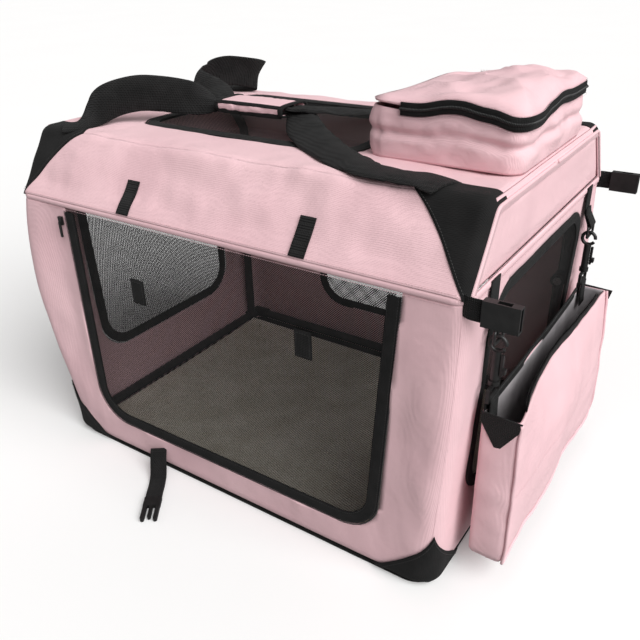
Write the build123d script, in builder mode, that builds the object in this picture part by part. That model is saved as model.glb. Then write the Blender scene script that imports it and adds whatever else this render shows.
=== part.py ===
"""Soft folding pet carrier: a tube frame in a fabric cover, with mesh doors, a roof pouch and a side bag.

Millimetres, +Z up. The origin is the middle of the base, on the ground. +X runs along the carrier towards the
end that carries the side bag, and the front (the side with the big door) faces -Y.
"""

import os

from build123d import *

os.makedirs("parts", exist_ok=True)

# overall sizes
length = 700.0  # at the ridge seam, outside
width = 500.0  # outside
height = 500.0  # ground to roof, without the pouch
ridge_height = 410.0  # the seam where the walls end and the shoulders begin
roof_width = 386.0  # outside, between the two shoulders
base_taper = 16.0  # each end wall leans in by this much at the ground

# cover
cloth = 3.0  # padded wall
mesh_thick = 1.2
seam_half = 4.0  # half of the ridge seam's height
gap = 0.4  # between pieces that lie side by side
skin_gap = 0.2  # under a sewn-on patch
patch_thick = 1.6
binding_width = 14.0  # black edging of doors and windows
webbing = 25.0
webbing_thick = 2.0

# frame
tube_r = 8.0
tube_wall = 1.2
side_room = 5.0  # between a side bar of the base and its wall
knee_room = 6.5  # between a hoop's eye and the wall beside it
roof_room = 1.0  # between the frame's clips and the roof
base_room = 3.0  # under the frame's eyes
eye_wall = 3.0  # of the sleeves and eyes on the tubes
eye_extra = 1.0  # an eye is this much wider than its tube
knee_gap = 2.0  # between a leg's eye and the hoop's eye beside it
bar_fit = 0.08  # running clearance round a bar or pin, on the radius
socket_fit = 0.05  # a tube held in a fitting, on the radius
free_fit = 0.35  # the two clips at the end whose pivot is left open
pin_r = 4.0
roof_rail_y = 160.0

# doors and windows
front_door_left = -255.0
front_door_right = 279.0
front_door_low_right = 253.0
front_door_low = 55.0
left_door_half = 165.0
left_door_low = 100.0
right_window_half = 178.0
right_window_low = 95.0
back_window_left = -160.0
back_window_right = 210.0
back_window_low = 76.0
window_top = 392.0
corner_r = 55.0
roof_door_left = -232.0
roof_door_right = 138.0
roof_door_front = -118.0
roof_door_back = 147.0
roof_opening_r = 30.0
roof_door_r = 36.0
door_gap = 1.5
hinge_gap = 3.0  # between a door's top edge and the ridge seam, so that it can turn

# pouch on the roof
pouch_end_gap = 7.0  # between the pouch and the end of the roof
pouch_long = 186.0
pouch_front = -113.0
pouch_back = 118.0
pouch_tall = 56.0  # its sides, above the roof
lid_tall = 33.0  # with the zip under it
pouch_zip_from = 40.0  # the zip starts this far from the left end, where the lid is hinged

# side bag and the pieces that it hangs on
bag_half = 197.0
bag_low = 35.0
bag_rim = 255.0
bag_gap = 6.0  # between the bag and the ridge, seen from above
bag_thick = 46.0
hang_y = 181.0
hang_out = 11.0  # the hooks' line, out from the ridge
ring_wire_r = 1.75
ring_drop = 63.5  # from the ridge seam's lower edge down to the rings
hook_wire_r = 2.4

# buckles
buckle_long = 38.0
buckle_thick = 10.0
strap_x = -130.0
strap_out = 66.0
male_long = 45.0

# worked out from the values above
half_l = length / 2
half_w = width / 2
roof_half = roof_width / 2
eye_r = tube_r + eye_wall
eye_width = 2 * tube_r + eye_extra
tube_end_x = half_l - base_taper - cloth - eye_r  # the end bars, about which the legs turn
base_bar_z = base_room + eye_r
roof_bar_z = height - cloth - roof_room - eye_r
side_bar_y = half_w - cloth - side_room - tube_r
hoop_y = half_w - cloth - knee_room - eye_width / 2
leg_y = hoop_y - knee_gap - eye_width
knee_z = (base_bar_z + roof_bar_z) / 2
seam_low = ridge_height - seam_half
seam_high = ridge_height + seam_half
end_slope = base_taper / ridge_height
shoulder_rise = height - seam_high
shoulder_run = half_w - roof_half
cloth_across = cloth * 1.2  # the shoulder's cloth, measured level
pouch_right = half_l - pouch_end_gap
pouch_left = pouch_right - pouch_long
pouch_rim = height + pouch_tall
pouch_top = pouch_rim + lid_tall
bag_inner_x = half_l + bag_gap
hang_x = half_l + hang_out
ring_bar_z = seam_low - ring_drop
board_top = 5.0
mat_top = 20.0


def end_x(z, inset=0.0):
    """The end wall's outer face at a height, moved in by inset."""
    return half_l - base_taper + end_slope * z - inset


def shoulder_y(z, inset=0.0):
    """The shoulder's outer face at a height above the ridge, moved in by inset."""
    return half_w - shoulder_run * (z - seam_high) / shoulder_rise - inset


def save(piece, name):
    piece.label = name
    export_step(piece, f"parts/{name}.step")


def rod(start, end, radius, inside=0.0):
    """A straight round bar or tube between two points, added to the part that is being built."""
    line = Vector(*end) - Vector(*start)
    with BuildSketch(Plane(origin=start, z_dir=line)) as section:
        Circle(radius)
        if inside:
            Circle(inside, mode=Mode.SUBTRACT)
    extrude(section.sketch, amount=line.length)


def bore(start, end, radius):
    """A round hole between two points, cut from the part that is being built."""
    line = Vector(*end) - Vector(*start)
    with BuildSketch(Plane(origin=start, z_dir=line)) as section:
        Circle(radius)
    extrude(section.sketch, amount=line.length, mode=Mode.SUBTRACT)


def block(low, high, mode=Mode.ADD):
    """A box between two corners."""
    with BuildSketch(Plane.XY.offset(low[2])) as section:
        with Locations(((low[0] + high[0]) / 2, (low[1] + high[1]) / 2)):
            Rectangle(high[0] - low[0], high[1] - low[1])
    extrude(section.sketch, amount=high[2] - low[2], mode=mode)


def end_slab(side, low, high, outer_inset, thick, half_y):
    """A sheet that leans as the end wall does, on the +X side (1) or the -X side (-1)."""
    with BuildSketch(Plane.XZ.offset(-half_y)) as section:
        with BuildLine():
            Polyline(
                (side * end_x(low, outer_inset), low),
                (side * end_x(high, outer_inset), high),
                (side * end_x(high, outer_inset + thick), high),
                (side * end_x(low, outer_inset + thick), low),
                close=True,
            )
        make_face()
    extrude(section.sketch, amount=2 * half_y)


def front_door_outline(inset):
    """The front door's shape in the XZ plane, moved in by inset on its three free sides."""
    low = front_door_low + inset
    top = seam_low - hinge_gap
    slant = (front_door_right - front_door_low_right) / (seam_low - front_door_low)
    with BuildLine() as edge:
        FilletPolyline(
            (front_door_left + inset, top),
            (front_door_left + inset, low),
            (front_door_low_right - inset, low),
            (front_door_low_right - inset + slant * (top - low), top),
            radius=corner_r - inset / 2,
        )
        Line(
            (front_door_low_right - inset + slant * (top - low), top),
            (front_door_left + inset, top),
        )
    make_face(edge.edges())


def opening_outline(left, right, low, top, radius):
    with Locations(((left + right) / 2, (low + top) / 2)):
        RectangleRounded(right - left, top - low, radius)


# ---- floor -----------------------------------------------------------------------------------------------

with BuildPart() as floor_cover:
    cover_x = end_x(0, cloth + gap)
    cover_y = half_w - cloth - gap
    block((-cover_x, -cover_y, 0), (cover_x, cover_y, 2))
save(floor_cover.part, "floor_cover")

with BuildPart() as floor_board:
    board_x = tube_end_x - eye_r - 1
    block((-board_x, -leg_y + eye_width / 2 + 1, 2.2), (board_x, leg_y - eye_width / 2 - 1, board_top))
save(floor_board.part, "floor_board")

with BuildPart() as floor_mat:
    mat_x = tube_end_x - eye_r - 2
    mat_y = leg_y - eye_width / 2 - 2
    block((-mat_x, -mat_y, board_top + gap), (mat_x, mat_y, mat_top))
    fillet(floor_mat.edges().filter_by(Axis.Z), 12)
    fillet(floor_mat.faces().sort_by(Axis.Z)[-1].edges(), 5)
save(floor_mat.part, "floor_mat")

# ---- base of the frame -----------------------------------------------------------------------------------

socket_deep = 18.0
socket_r = 10.5

with BuildPart() as base_long_rails:
    for side in (-1, 1):
        reach = tube_end_x - socket_r
        y = side * side_bar_y
        rod((-reach, y, base_bar_z), (reach, y, base_bar_z), tube_r, tube_r - tube_wall)
save(base_long_rails.part, "base_long_rails")

with BuildPart() as base_end_rails:
    for side in (-1, 1):
        reach = side_bar_y - socket_r
        x = side * tube_end_x
        rod((x, -reach, base_bar_z), (x, reach, base_bar_z), tube_r, tube_r - tube_wall)
save(base_end_rails.part, "base_end_rails")

with BuildPart() as base_elbows:
    for sx in (-1, 1):
        for sy in (-1, 1):
            x, y = sx * tube_end_x, sy * side_bar_y
            into = socket_r + socket_deep / 2
            rod((x, y, base_bar_z), (x - sx * (socket_deep + 10), y, base_bar_z), socket_r)
            rod((x, y, base_bar_z), (x, y - sy * into / 2, base_bar_z), socket_r)
            with Locations((x, y, base_bar_z)):
                Sphere(socket_r)
            bore((x - sx * socket_r, y, base_bar_z), (x - sx * 60, y, base_bar_z), tube_r + socket_fit)
            bore((x, y - sy * (socket_r - 1), base_bar_z), (x, y - sy * 60, base_bar_z), tube_r + socket_fit)
save(base_elbows.part, "base_elbows")

# ---- walls -----------------------------------------------------------------------------------------------


def wall_outline():
    with BuildLine() as edge:
        Polyline(
            (-end_x(0), 0),
            (end_x(0), 0),
            (end_x(seam_low - gap), seam_low - gap),
            (-end_x(seam_low - gap), seam_low - gap),
            close=True,
        )
    make_face(edge.edges())


with BuildPart() as front_wall:
    with BuildSketch(Plane.XZ.offset(half_w - cloth)):
        wall_outline()
    extrude(amount=cloth)
    with BuildSketch(Plane.XZ.offset(half_w - cloth - 1)):
        front_door_outline(0)
        with Locations(((front_door_left + front_door_right) / 2, seam_low)):
            Rectangle(front_door_right - front_door_left, 2 * hinge_gap + 1)
    extrude(amount=cloth + 2, mode=Mode.SUBTRACT)
save(front_wall.part, "front_wall")

with BuildPart() as back_wall:
    with BuildSketch(Plane.XZ.offset(-half_w)):
        wall_outline()
    extrude(amount=cloth)
    with BuildSketch(Plane.XZ.offset(-half_w - 1)):
        opening_outline(back_window_left, back_window_right, back_window_low, window_top, corner_r)
    extrude(amount=cloth + 2, mode=Mode.SUBTRACT)
save(back_wall.part, "back_wall")

for name, grow, thick in (
    ("back_window_binding", 0.0, cloth),
    ("back_window_mesh", binding_width, mesh_thick),
):
    with BuildPart() as pane:
        with BuildSketch(Plane.XZ.offset(-half_w + (cloth - thick) / 2)):
            opening_outline(
                back_window_left + grow + gap,
                back_window_right - grow - gap,
                back_window_low + grow + gap,
                window_top - grow - gap,
                corner_r - grow / 2,
            )
            if not grow:
                with Locations(
                    ((back_window_left + back_window_right) / 2, (back_window_low + window_top) / 2)
                ):
                    RectangleRounded(
                        back_window_right - back_window_left - 2 * binding_width,
                        window_top - back_window_low - 2 * binding_width,
                        corner_r - binding_width / 2,
                        mode=Mode.SUBTRACT,
                    )
        extrude(amount=thick)
    save(pane.part, name)


for side, side_name in ((1, "right"), (-1, "left")):
    half = right_window_half if side > 0 else left_door_half
    low = right_window_low if side > 0 else left_door_low
    top = window_top if side > 0 else seam_low + corner_r

    with BuildPart() as end_wall:
        end_slab(side, 0, seam_low - gap, 0, cloth, half_w - cloth - gap)
        with BuildSketch(Plane.YZ.offset(side * (half_l - 40))):
            opening_outline(-half, half, low, top, corner_r)
        extrude(amount=side * 60, mode=Mode.SUBTRACT)
    save(end_wall.part, f"{side_name}_wall")

    pane_top = window_top - gap if side > 0 else seam_low - hinge_gap
    edge = gap if side > 0 else door_gap
    kind = "window" if side > 0 else "door"
    round_top = pane_top if side > 0 else seam_low + corner_r - edge

    with BuildPart() as end_binding:
        end_slab(side, low, pane_top, 0, cloth, half)
        with BuildSketch(Plane.YZ.offset(side * (half_l - 40))):
            opening_outline(-half + edge, half - edge, low + edge, round_top, corner_r - edge)
        extrude(amount=side * 60, mode=Mode.INTERSECT)
        with BuildSketch(Plane.YZ.offset(side * (half_l - 40))):
            opening_outline(
                -half + edge + binding_width,
                half - edge - binding_width,
                low + edge + binding_width,
                pane_top - binding_width,
                corner_r - binding_width / 2,
            )
        extrude(amount=side * 60, mode=Mode.SUBTRACT)
    save(end_binding.part, f"{side_name}_{kind}_binding")

    with BuildPart() as end_mesh:
        end_slab(side, low, pane_top, (cloth - mesh_thick) / 2, mesh_thick, half)
        with BuildSketch(Plane.YZ.offset(side * (half_l - 40))):
            opening_outline(
                -half + edge + binding_width + gap,
                half - edge - binding_width - gap,
                low + edge + binding_width + gap,
                pane_top - binding_width - gap,
                corner_r - binding_width / 2 - gap,
            )
        extrude(amount=side * 60, mode=Mode.INTERSECT)
    save(end_mesh.part, f"{side_name}_{kind}_mesh")

# ---- front door ------------------------------------------------------------------------------------------

with BuildPart() as front_door_binding:
    with BuildSketch(Plane.XZ.offset(half_w - cloth)):
        front_door_outline(door_gap)
    extrude(amount=cloth)
    with BuildSketch(Plane.XZ.offset(half_w - cloth - 1)):
        front_door_outline(door_gap + binding_width)
        with Locations((0, seam_low)):
            Rectangle(length, 2 * binding_width, mode=Mode.SUBTRACT)
    extrude(amount=cloth + 2, mode=Mode.SUBTRACT)
save(front_door_binding.part, "front_door_binding")

with BuildPart() as front_door_mesh:
    with BuildSketch(Plane.XZ.offset(half_w - cloth + (cloth - mesh_thick) / 2)):
        front_door_outline(door_gap + binding_width + gap)
        with Locations((0, seam_low)):
            Rectangle(length, 2 * (binding_width + gap), mode=Mode.SUBTRACT)
    extrude(amount=mesh_thick)
save(front_door_mesh.part, "front_door_mesh")

pad_x = (-125.0, 151.0)
pad_z = 307.0
with BuildPart() as front_door_pads:
    with BuildSketch(Plane.XZ.offset(half_w - (cloth - mesh_thick) / 2 + skin_gap)):
        with Locations(*[(x, pad_z) for x in pad_x]):
            RectangleRounded(webbing, 36, 1.5)
    extrude(amount=1.5)
save(front_door_pads.part, "front_door_pads")

# ---- ridge seam, shoulders, gables and roof --------------------------------------------------------------

with BuildPart() as ridge_seam_long:
    for side in (-1, 1):
        y = side * (half_w - cloth / 2)
        x = end_x(seam_low)
        block((-x, y - cloth / 2, seam_low), (x, y + cloth / 2, seam_high))
save(ridge_seam_long.part, "ridge_seam_long")

with BuildPart() as ridge_seam_ends:
    for side in (-1, 1):
        x = side * (end_x(seam_low) - cloth / 2)
        y = half_w - cloth - gap
        block((x - cloth / 2, -y, seam_low), (x + cloth / 2, y, seam_high))
save(ridge_seam_ends.part, "ridge_seam_ends")

for side, side_name in ((-1, "front"), (1, "back")):
    with BuildPart() as shoulder:
        with BuildSketch(Plane.YZ.offset(-half_l)):
            with BuildLine():
                Polyline(
                    (side * shoulder_y(seam_high + gap), seam_high + gap),
                    (side * shoulder_y(height), height),
                    (side * shoulder_y(height, cloth_across), height),
                    (side * shoulder_y(seam_high + gap, cloth_across), seam_high + gap),
                    close=True,
                )
            make_face()
        extrude(amount=length)
    save(shoulder.part, f"{side_name}_shoulder")

with BuildPart() as gables:
    for side in (-1, 1):
        inset = cloth_across + gap
        top = height - cloth - gap
        with BuildSketch(Plane.YZ.offset(side * (half_l - cloth))):
            with BuildLine():
                Polyline(
                    (-shoulder_y(seam_high + gap, inset), seam_high + gap),
                    (shoulder_y(seam_high + gap, inset), seam_high + gap),
                    (shoulder_y(top, inset), top),
                    (-shoulder_y(top, inset), top),
                    close=True,
                )
            make_face()
        extrude(amount=side * cloth)
save(gables.part, "gables")

with BuildPart() as roof_panel:
    roof_y = roof_half - cloth_across - gap
    block((-half_l, -roof_y, height - cloth), (half_l, roof_y, height))
    with BuildSketch(Plane.XY.offset(height - cloth - 1)):
        opening_outline(roof_door_left, roof_door_right, roof_door_front, roof_door_back, roof_opening_r)
    extrude(amount=cloth + 2, mode=Mode.SUBTRACT)
save(roof_panel.part, "roof_panel")

with BuildPart() as roof_door_binding:
    with BuildSketch(Plane.XY.offset(height - cloth)):
        opening_outline(
            roof_door_left + door_gap,
            roof_door_right - door_gap,
            roof_door_front + door_gap,
            roof_door_back - door_gap,
            roof_door_r,
        )
        with Locations(((roof_door_left + roof_door_right) / 2, (roof_door_front + roof_door_back) / 2)):
            RectangleRounded(
                roof_door_right - roof_door_left - 2 * (door_gap + binding_width),
                roof_door_back - roof_door_front - 2 * (door_gap + binding_width),
                roof_door_r - binding_width,
                mode=Mode.SUBTRACT,
            )
    extrude(amount=cloth)
save(roof_door_binding.part, "roof_door_binding")

with BuildPart() as roof_door_mesh:
    inside = door_gap + binding_width + gap
    with BuildSketch(Plane.XY.offset(height - cloth / 2 - mesh_thick / 2)):
        opening_outline(
            roof_door_left + inside,
            roof_door_right - inside,
            roof_door_front + inside,
            roof_door_back - inside,
            roof_door_r - binding_width - gap,
        )
    extrude(amount=mesh_thick)
save(roof_door_mesh.part, "roof_door_mesh")

# ---- corner patches --------------------------------------------------------------------------------------

low_patch_wide = 92.0
low_patch_tall = 90.0
low_patch_lift = 0.6

with BuildPart() as low_patch:  # the front right one
    x_low = end_x(low_patch_lift, -skin_gap - patch_thick)
    x_high = end_x(low_patch_tall, -skin_gap - patch_thick)
    end_slab(1, low_patch_lift, low_patch_tall, -skin_gap - patch_thick, patch_thick, half_w + 2)
    with BuildSketch(Plane.YZ.offset(half_l - 40)):
        with BuildLine():
            Polyline(
                (-half_w - skin_gap - patch_thick, low_patch_tall),
                (-half_w - skin_gap - patch_thick, low_patch_lift),
                (-half_w + low_patch_wide, low_patch_lift),
            )
            Spline(
                (-half_w + low_patch_wide, low_patch_lift),
                (-half_w + low_patch_wide * 0.5, low_patch_tall * 0.55),
                (-half_w - skin_gap - patch_thick, low_patch_tall),
            )
        make_face()
    extrude(amount=60, mode=Mode.INTERSECT)
    with BuildSketch(Plane.XZ.offset(half_w + skin_gap)):
        with BuildLine():
            Polyline(
                (x_high, low_patch_tall),
                (x_low, low_patch_lift),
                (x_low - low_patch_wide, low_patch_lift),
            )
            Spline(
                (x_low - low_patch_wide, low_patch_lift),
                (x_low - low_patch_wide * 0.5, low_patch_tall * 0.55),
                (x_high, low_patch_tall),
            )
        make_face()
    extrude(amount=patch_thick)

with BuildPart() as bottom_corner_patches:
    add(low_patch.part)
    mirror(about=Plane.XZ)
    mirror(about=Plane.YZ)
save(bottom_corner_patches.part, "bottom_corner_patches")

shoulder_long = (shoulder_run**2 + shoulder_rise**2) ** 0.5
top_patch_wide = 92.0
roof_strip = 30.0
shoulder_face = Plane(
    origin=(half_l, -half_w, seam_high),
    x_dir=(1, 0, 0),
    z_dir=(0, -shoulder_rise, shoulder_run),
)

with BuildPart() as top_patch:  # the front right one
    with BuildSketch(shoulder_face.offset(skin_gap)):
        with BuildLine():
            Polyline(
                (0, 2),
                (0, shoulder_long + patch_thick / 2),
                (-top_patch_wide, shoulder_long + patch_thick / 2),
                close=True,
            )
        make_face()
    extrude(amount=patch_thick)
    with BuildSketch(Plane.XY.offset(height + skin_gap)):
        with BuildLine():
            Polyline(
                (half_l, -roof_half - 0.6),
                (half_l, -roof_half + roof_strip),
                (half_l - top_patch_wide + 12, -roof_half + roof_strip),
                (half_l - top_patch_wide, -roof_half - 0.6),
                close=True,
            )
        make_face()
    extrude(amount=patch_thick)

with BuildPart() as top_corner_patches:
    add(top_patch.part)
    mirror(about=Plane.XZ)
    mirror(about=Plane.YZ)
save(top_corner_patches.part, "top_corner_patches")

# ---- folding legs, hoops and roof rails ------------------------------------------------------------------

for side, side_name in ((1, "right"), (-1, "left")):
    x = side * tube_end_x

    with BuildPart() as lower_legs:
        for sy in (-1, 1):
            near = sy * (leg_y - eye_width / 2)
            far = sy * (leg_y + eye_width / 2)
            rod((x, sy * leg_y, base_bar_z), (x, sy * leg_y, knee_z), tube_r)
            rod((x, near, base_bar_z), (x, far, base_bar_z), eye_r)
            rod((x, near, knee_z), (x, far, knee_z), eye_r)
            bore((x, near, base_bar_z), (x, far, base_bar_z), tube_r + bar_fit)
            bore((x, near, knee_z), (x, far, knee_z), pin_r + socket_fit)
    save(lower_legs.part, f"{side_name}_lower_legs")

    with BuildPart() as knee_pins:
        for sy in (-1, 1):
            inner = sy * (leg_y - eye_width / 2 - 0.3)
            outer = sy * (hoop_y + eye_width / 2 + 0.5)
            rod((x, inner, knee_z), (x, outer, knee_z), pin_r)
            rod((x, inner - sy * 1.5, knee_z), (x, inner, knee_z), pin_r + 2.5)
            rod((x, outer, knee_z), (x, outer + sy * 1.5, knee_z), pin_r + 2.5)
    save(knee_pins.part, f"{side_name}_knee_pins")

    bend_z = seam_high
    top_y = hoop_y - shoulder_run * (roof_bar_z - bend_z) / shoulder_rise
    with BuildPart() as hoop:
        with BuildLine() as hoop_path:
            FilletPolyline(
                (x, -hoop_y, knee_z),
                (x, -hoop_y, bend_z),
                (x, -top_y, roof_bar_z),
                (x, top_y, roof_bar_z),
                (x, hoop_y, bend_z),
                (x, hoop_y, knee_z),
                radius=24,
            )
        with BuildSketch(Plane(origin=(x, -hoop_y, knee_z), z_dir=(0, 0, 1))):
            Circle(tube_r)
        sweep()
        for sy in (-1, 1):
            near = sy * (leg_y + eye_width / 2 + knee_gap)
            far = sy * (hoop_y + eye_width / 2)
            rod((x, near, knee_z), (x, far, knee_z), eye_r)
            bore((x, near, knee_z), (x, far, knee_z), pin_r + bar_fit)
    save(hoop.part, f"{side_name}_hoop")

clip_wide = 18.0
clip_reach = 30.0

with BuildPart() as roof_rails:
    for sy in (-1, 1):
        reach = tube_end_x - tube_r - free_fit - 2
        y = sy * roof_rail_y
        rod((-reach, y, roof_bar_z), (reach, y, roof_bar_z), tube_r, tube_r - tube_wall)
save(roof_rails.part, "roof_rails")

with BuildPart() as rail_clips:
    for sx in (-1, 1):
        fit = bar_fit if sx > 0 else free_fit
        for sy in (-1, 1):
            x, y = sx * tube_end_x, sy * roof_rail_y
            rod((x, y - clip_wide / 2, roof_bar_z), (x, y + clip_wide / 2, roof_bar_z), eye_r)
            rod((x, y, roof_bar_z), (x - sx * clip_reach, y, roof_bar_z), eye_r)
            bore((x, y - 20, roof_bar_z), (x, y + 20, roof_bar_z), tube_r + fit)
            socket_x = x - sx * (tube_r + free_fit + 2)
            bore((socket_x, y, roof_bar_z), (x - sx * 60, y, roof_bar_z), tube_r + socket_fit)
save(rail_clips.part, "rail_clips")

# ---- roll-up straps, zip slider, buckles on the ridge ----------------------------------------------------

rollup_x = (-134.0, 145.0)
rollup_wide = 22.0
rollup_long = 48.0
with BuildPart() as rollup_straps:
    with BuildSketch(shoulder_face.offset(skin_gap)):
        with Locations(*[(x - half_l, 2 + rollup_long / 2) for x in rollup_x]):
            RectangleRounded(rollup_wide, rollup_long, 2)
    extrude(amount=webbing_thick)
save(rollup_straps.part, "rollup_straps")

slider_x = front_door_left - 8
slider_y = -half_w - 0.3
with BuildPart() as front_zip_slider:
    block((slider_x - 3.5, slider_y - 4, 380), (slider_x + 3.5, slider_y, 392))
    block((slider_x - 2.2, slider_y - 5.5, 362), (slider_x + 2.2, slider_y - 3.8, 384))
    fillet(front_zip_slider.edges().filter_by(Axis.Y).group_by(Axis.Z)[0], 1.5)
save(front_zip_slider.part, "front_zip_slider")

tab_long = 14.0
tab_y = half_w - cloth / 2
buckle_x = end_x(seam_low) + gap
with BuildPart() as buckle_tabs:
    for side in (-1, 1):
        y = side * tab_y
        block(
            (buckle_x, y - webbing_thick / 2, ridge_height - webbing / 2 - 3),
            (buckle_x + tab_long, y + webbing_thick / 2, ridge_height + webbing / 2 - 3),
        )
save(buckle_tabs.part, "buckle_tabs")

buckle_wall = 1.8
with BuildPart() as female_buckles:
    for side in (-1, 1):
        y = side * tab_y
        mid_z = ridge_height - 3
        x0 = buckle_x + tab_long + 0.1
        half_z = webbing / 2 + 1.5
        half_y = buckle_thick / 2
        hollow_y = half_y - buckle_wall
        hollow_z = half_z - buckle_wall
        block((x0, y - half_y, mid_z - half_z), (x0 + buckle_long, y + half_y, mid_z + half_z))
        block(  # the mouth
            (x0 + 9, y - hollow_y, mid_z - hollow_z),
            (x0 + buckle_long + 1, y + hollow_y, mid_z + hollow_z),
            Mode.SUBTRACT,
        )
        block(  # the openings that the plug's side catches spring out of
            (x0 + 14, y - hollow_y, mid_z - half_z - 1),
            (x0 + 28, y + hollow_y, mid_z + half_z + 1),
            Mode.SUBTRACT,
        )
save(female_buckles.part, "female_buckles")

# ---- front and back straps with their male buckles -------------------------------------------------------

strap_foot = (strap_x + 4, -half_w - 9.5)  # where the hanging part starts
strap_way = Vector(0.585, -0.811, 0)  # it lies out over the ground, turned towards +X
strap_plane = Plane(origin=(strap_foot[0], strap_foot[1], 0), x_dir=strap_way, z_dir=(-0.811, -0.585, 0))

with BuildPart() as front_strap:
    with BuildSketch(strap_plane.offset(-webbing / 2)):
        with BuildLine():
            outer = FilletPolyline((0, 34), (6, 30), (20, 8), (34, 3.4), (strap_out, 3.4), radius=4)
            offset(outer, amount=webbing_thick / 2, kind=Kind.ARC)
        make_face()
    extrude(amount=webbing)

prong_z = (0.9, 6.9)
with BuildPart() as front_buckle:
    with BuildSketch(Plane(origin=(*strap_foot, prong_z[0]), x_dir=strap_way, z_dir=(0, 0, 1))):
        start = strap_out + 1.2
        with Locations((start + 9, 0)):
            Rectangle(18, webbing)
        for across in (-1, 1):
            with Locations((start + 31, across * 9.3)):
                SlotOverall(30, 5.6)
        with Locations((start + 29, 0)):
            SlotOverall(26, 4.4)
    extrude(amount=prong_z[1] - prong_z[0])

for side, side_name in ((-1, "front"), (1, "back")):
    for piece, kind in ((front_strap, "strap"), (front_buckle, "strap_buckle")):
        with BuildPart() as copy:
            add(piece.part)
            if side > 0:
                mirror(about=Plane.XZ, mode=Mode.REPLACE)
        save(copy.part, f"{side_name}_{kind}")

# ---- side bag, its hooks and rings -----------------------------------------------------------------------

ring_half = 15.0
ring_tall = 15.0
hanger_x = end_x(seam_low) + gap
ring_top_z = ring_bar_z + ring_tall
with BuildPart() as bag_hanger_tabs:
    for side in (-1, 1):
        y = side * hang_y
        with BuildSketch(Plane.XZ.offset(-y - webbing / 2)):
            with BuildLine():
                Polyline(
                    (hanger_x, seam_high),
                    (hanger_x + webbing_thick, seam_high),
                    (hanger_x + webbing_thick, ring_top_z + 18),
                    (hang_x + 3.4, ring_top_z + 3),
                    (hang_x + 3.4, ring_top_z - 3.4),
                    (hang_x - 3.4, ring_top_z - 3.4),
                    (hang_x - 3.4, ring_top_z + 3),
                    (hanger_x, ring_top_z + 14),
                    close=True,
                )
            make_face()
        extrude(amount=webbing)
        bore((hang_x, y - webbing, ring_top_z), (hang_x, y + webbing, ring_top_z), ring_wire_r + bar_fit)
save(bag_hanger_tabs.part, "bag_hanger_tabs")

with BuildPart() as d_rings:
    for side in (-1, 1):
        y = side * hang_y
        top = ring_bar_z + ring_tall
        with BuildLine():
            FilletPolyline(
                (hang_x, y - ring_half, top),
                (hang_x, y - ring_half, ring_bar_z),
                (hang_x, y + ring_half, ring_bar_z),
                (hang_x, y + ring_half, top),
                radius=2.4,
                close=True,
            )
        with BuildSketch(Plane(origin=(hang_x, y - ring_half, ring_bar_z + ring_tall / 2), z_dir=(0, 0, 1))):
            Circle(ring_wire_r)
        sweep()
save(d_rings.part, "d_rings")

hook_r = 9.2  # middle line of the hook's round nose
hook_z = ring_bar_z + ring_wire_r + 0.25 - (hook_r - hook_wire_r)
shank_low = 292.0
with BuildPart() as snap_hooks:
    for side in (-1, 1):
        y = side * hang_y
        with BuildSketch(Plane.XY.offset(hook_z)):
            with Locations((hang_x + hook_r, y)):
                Circle(hook_wire_r)
        revolve(axis=Axis((hang_x, y, hook_z), (0, 1, 0)), revolution_arc=-325)
        rod((hang_x, y, shank_low), (hang_x, y, hook_z - hook_r + 1), 5)
save(snap_hooks.part, "snap_hooks")

for side, side_name in ((-1, "front"), (1, "back")):
    y = side * hang_y
    with BuildPart() as trigger:
        block((hang_x + 5.6, y - 2, shank_low + 6), (hang_x + 8.6, y + 2, hook_z - hook_r - hook_wire_r - 1))
        block((hang_x + 8.4, y - 3.5, shank_low + 10), (hang_x + 12, y + 3.5, shank_low + 16))
    save(trigger.part, f"snap_trigger_{side_name}")

with BuildPart() as snap_swivels:
    for side in (-1, 1):
        y = side * hang_y
        rod((hang_x, y, shank_low - 6), (hang_x, y, shank_low - 0.3), 6.5)
        with BuildSketch(Plane.YZ.offset(hang_x - 2)):
            with Locations((y, shank_low - 15)):
                RectangleRounded(34, 19, 3)
                RectangleRounded(27, 12, 2, mode=Mode.SUBTRACT)
        extrude(amount=4)
save(snap_swivels.part, "snap_swivels")

bag_outer_x = bag_inner_x + bag_thick
with BuildPart() as side_bag:
    block((bag_inner_x, -bag_half, bag_low), (bag_outer_x, bag_half, bag_rim))
    fillet(side_bag.edges().filter_by(Axis.X), 14)
    block(
        (bag_inner_x + cloth, -bag_half + cloth, bag_low + cloth),
        (bag_outer_x - cloth, bag_half - cloth, bag_rim + 1),
        Mode.SUBTRACT,
    )
save(side_bag.part, "side_bag")

tape_half = hang_y - webbing / 2 - 2
with BuildPart() as side_bag_zip_tapes:
    for x in (bag_inner_x + cloth / 2, bag_outer_x - cloth / 2):
        block((x - 1, -tape_half, bag_rim + 0.1), (x + 1, tape_half, bag_rim + 9))
save(side_bag_zip_tapes.part, "side_bag_zip_tapes")

eye_bar_z = shank_low - 24.5  # underside of the swivel's lower bar
loop_gap = 2.3  # from the middle of the swivel to the webbing on each side of it
with BuildPart() as side_bag_loops:
    for side in (-1, 1):
        y = side * hang_y
        near = hang_x - loop_gap - webbing_thick
        far = hang_x + loop_gap
        top = eye_bar_z + 6
        block((near, y - webbing / 2, top - webbing_thick), (far + webbing_thick, y + webbing / 2, top))
        block((near, y - webbing / 2, bag_rim + 1), (near + webbing_thick, y + webbing / 2, top - 1))
        block((far, y - webbing / 2, bag_rim - 20), (far + webbing_thick, y + webbing / 2, top - 1))
save(side_bag_loops.part, "side_bag_loops")

# ---- roof pouch ------------------------------------------------------------------------------------------

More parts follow.
